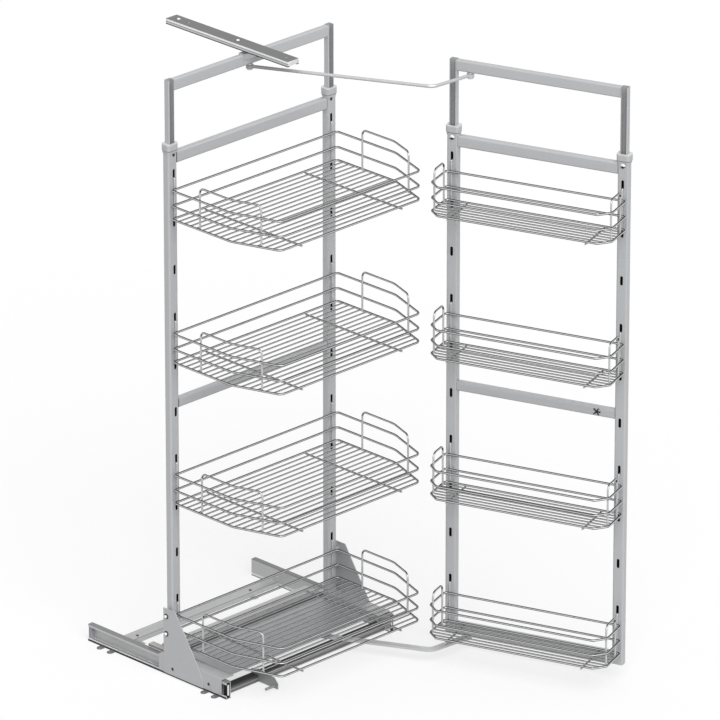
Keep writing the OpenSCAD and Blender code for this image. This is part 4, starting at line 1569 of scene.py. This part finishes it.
@dataclass
class Studio:
    """The white room: floor, light and camera, with lengths in metres and turns in degrees."""

    azimuth: float = -44.858
    elevation: float = 22.664
    distance: float = 20.0
    lens: float = 446.8
    sensor: float = 36.0
    sight: float = 200.0
    target: Vector = field(default_factory=lambda: Vector((0.3472, -0.0012, 0.5747)))
    sky: float = 0.50
    floor_half: float = 60.0
    floor_cells: int = 4
    floor_drop: float = 0.3 * MM
    floor_shown: float = 1.0
    floor_bounce: float = 0.35
    floor_glow: float = 0.65
    suns: Sequence[tuple[float, float, float, float]] = ((-30.0, 40.0, 2.5, 50.0),)

    @staticmethod
    def toward(azimuth: float, elevation: float) -> Vector:
        """A direction from the object, round it from its front and above the horizon."""
        a, e = math.radians(azimuth), math.radians(elevation)
        return Vector((math.sin(a) * math.cos(e), -math.cos(a) * math.cos(e), math.sin(e)))

    @staticmethod
    def even(level: float) -> tuple[float, float, float, float]:
        """An even tone with its alpha."""
        return (level, level, level, 1.0)

    def build(self) -> None:
        """Makes the room."""
        self.floor()
        self.world()
        for index, sun in enumerate(self.suns):
            self.sun(f"sun_{index + 1}", *sun)
        self.camera()

    def floor(self) -> None:
        """Lays a wide pale floor that shows white and keeps the shadow."""
        shape = bmesh.new()
        cells = self.floor_cells
        bmesh.ops.create_grid(shape, x_segments=cells, y_segments=cells, size=self.floor_half)
        floor = linked("studio_floor", meshed(shape, "studio_floor"))
        floor.location.z = CAD_BOX[0].z - self.floor_drop
        material = bpy.data.materials.new("studio_floor")
        material.use_nodes = True
        material.node_tree.nodes.clear()
        recipe = Recipe(material.node_tree)
        shown, bounce = (
            recipe.node("ShaderNodeBsdfDiffuse", None, {"Color": self.even(level)})
            for level in (self.floor_shown, self.floor_bounce)
        )
        glow = recipe.node("ShaderNodeEmission", None, {"Color": self.even(1.0), "Strength": 1.0})
        white = recipe.node(
            "ShaderNodeMixShader", None, {0: self.floor_glow, 1: shown.outputs[0], 2: glow.outputs[0]}
        )
        both = recipe.node(
            "ShaderNodeMixShader",
            None,
            {0: recipe.background_rays(), 1: bounce.outputs[0], 2: white.outputs[0]},
        )
        recipe.node("ShaderNodeOutputMaterial", None, {"Surface": both.outputs[0]})
        floor.data.materials.append(material)

    def world(self) -> None:
        """Lights the room evenly and shows it white."""
        world = bpy.data.worlds.new("studio")
        world.use_nodes = True
        world.node_tree.nodes.clear()
        recipe = Recipe(world.node_tree)
        strength = self.sky + recipe.background_rays() * (1.0 - self.sky)
        light = recipe.node(
            "ShaderNodeBackground", None, {"Color": self.even(1.0), "Strength": strength}
        )
        recipe.node("ShaderNodeOutputWorld", None, {"Surface": light.outputs[0]})
        bpy.context.scene.world = world

    def sun(self, name: str, azimuth: float, elevation: float, strength: float, spread: float) -> None:
        """Adds one soft even lamp.

        Args:
            name: The lamp's name.
            azimuth: Where it stands, round the object.
            elevation: How high it stands.
            strength: Its light on a surface that faces it.
            spread: How wide it looks, in degrees.
        """
        lamp = bpy.data.lights.new(name, "SUN")
        lamp.energy = strength
        lamp.angle = math.radians(spread)
        holder = linked(name, lamp)
        holder.rotation_mode = "QUATERNION"
        holder.rotation_quaternion = self.toward(azimuth, elevation).to_track_quat("Z", "Y")

    def camera(self) -> None:
        """Sets the camera at the photograph's angle."""
        data = bpy.data.cameras.new("camera")
        data.sensor_width = self.sensor
        data.lens = self.lens
        data.clip_end = self.sight
        camera = linked("camera", data)
        back = self.toward(self.azimuth, self.elevation)
        camera.location = self.target + back * self.distance
        camera.rotation_mode = "QUATERNION"
        camera.rotation_quaternion = (-back).to_track_quat("-Z", "Y")
        bpy.context.scene.camera = camera


def main() -> None:
    """Builds the room and dresses the part, one sub-assembly after the other."""
    logging.basicConfig(level=logging.INFO, format="%(name)s: %(message)s")
    bpy.context.scene.view_settings.view_transform = "Standard"
    palette = Palette()
    Studio().build()
    door = DoorFrame(palette)
    for assembly in (
        CabinetRails(palette),
        InnerFrame(palette),
        InnerExtension(palette),
        SteeringRods(palette),
        door,
        WireBaskets(palette, door),
    ):
        assembly.build()
        log.info("%s is done", type(assembly).__name__)


if __name__ == "__main__":
    main()
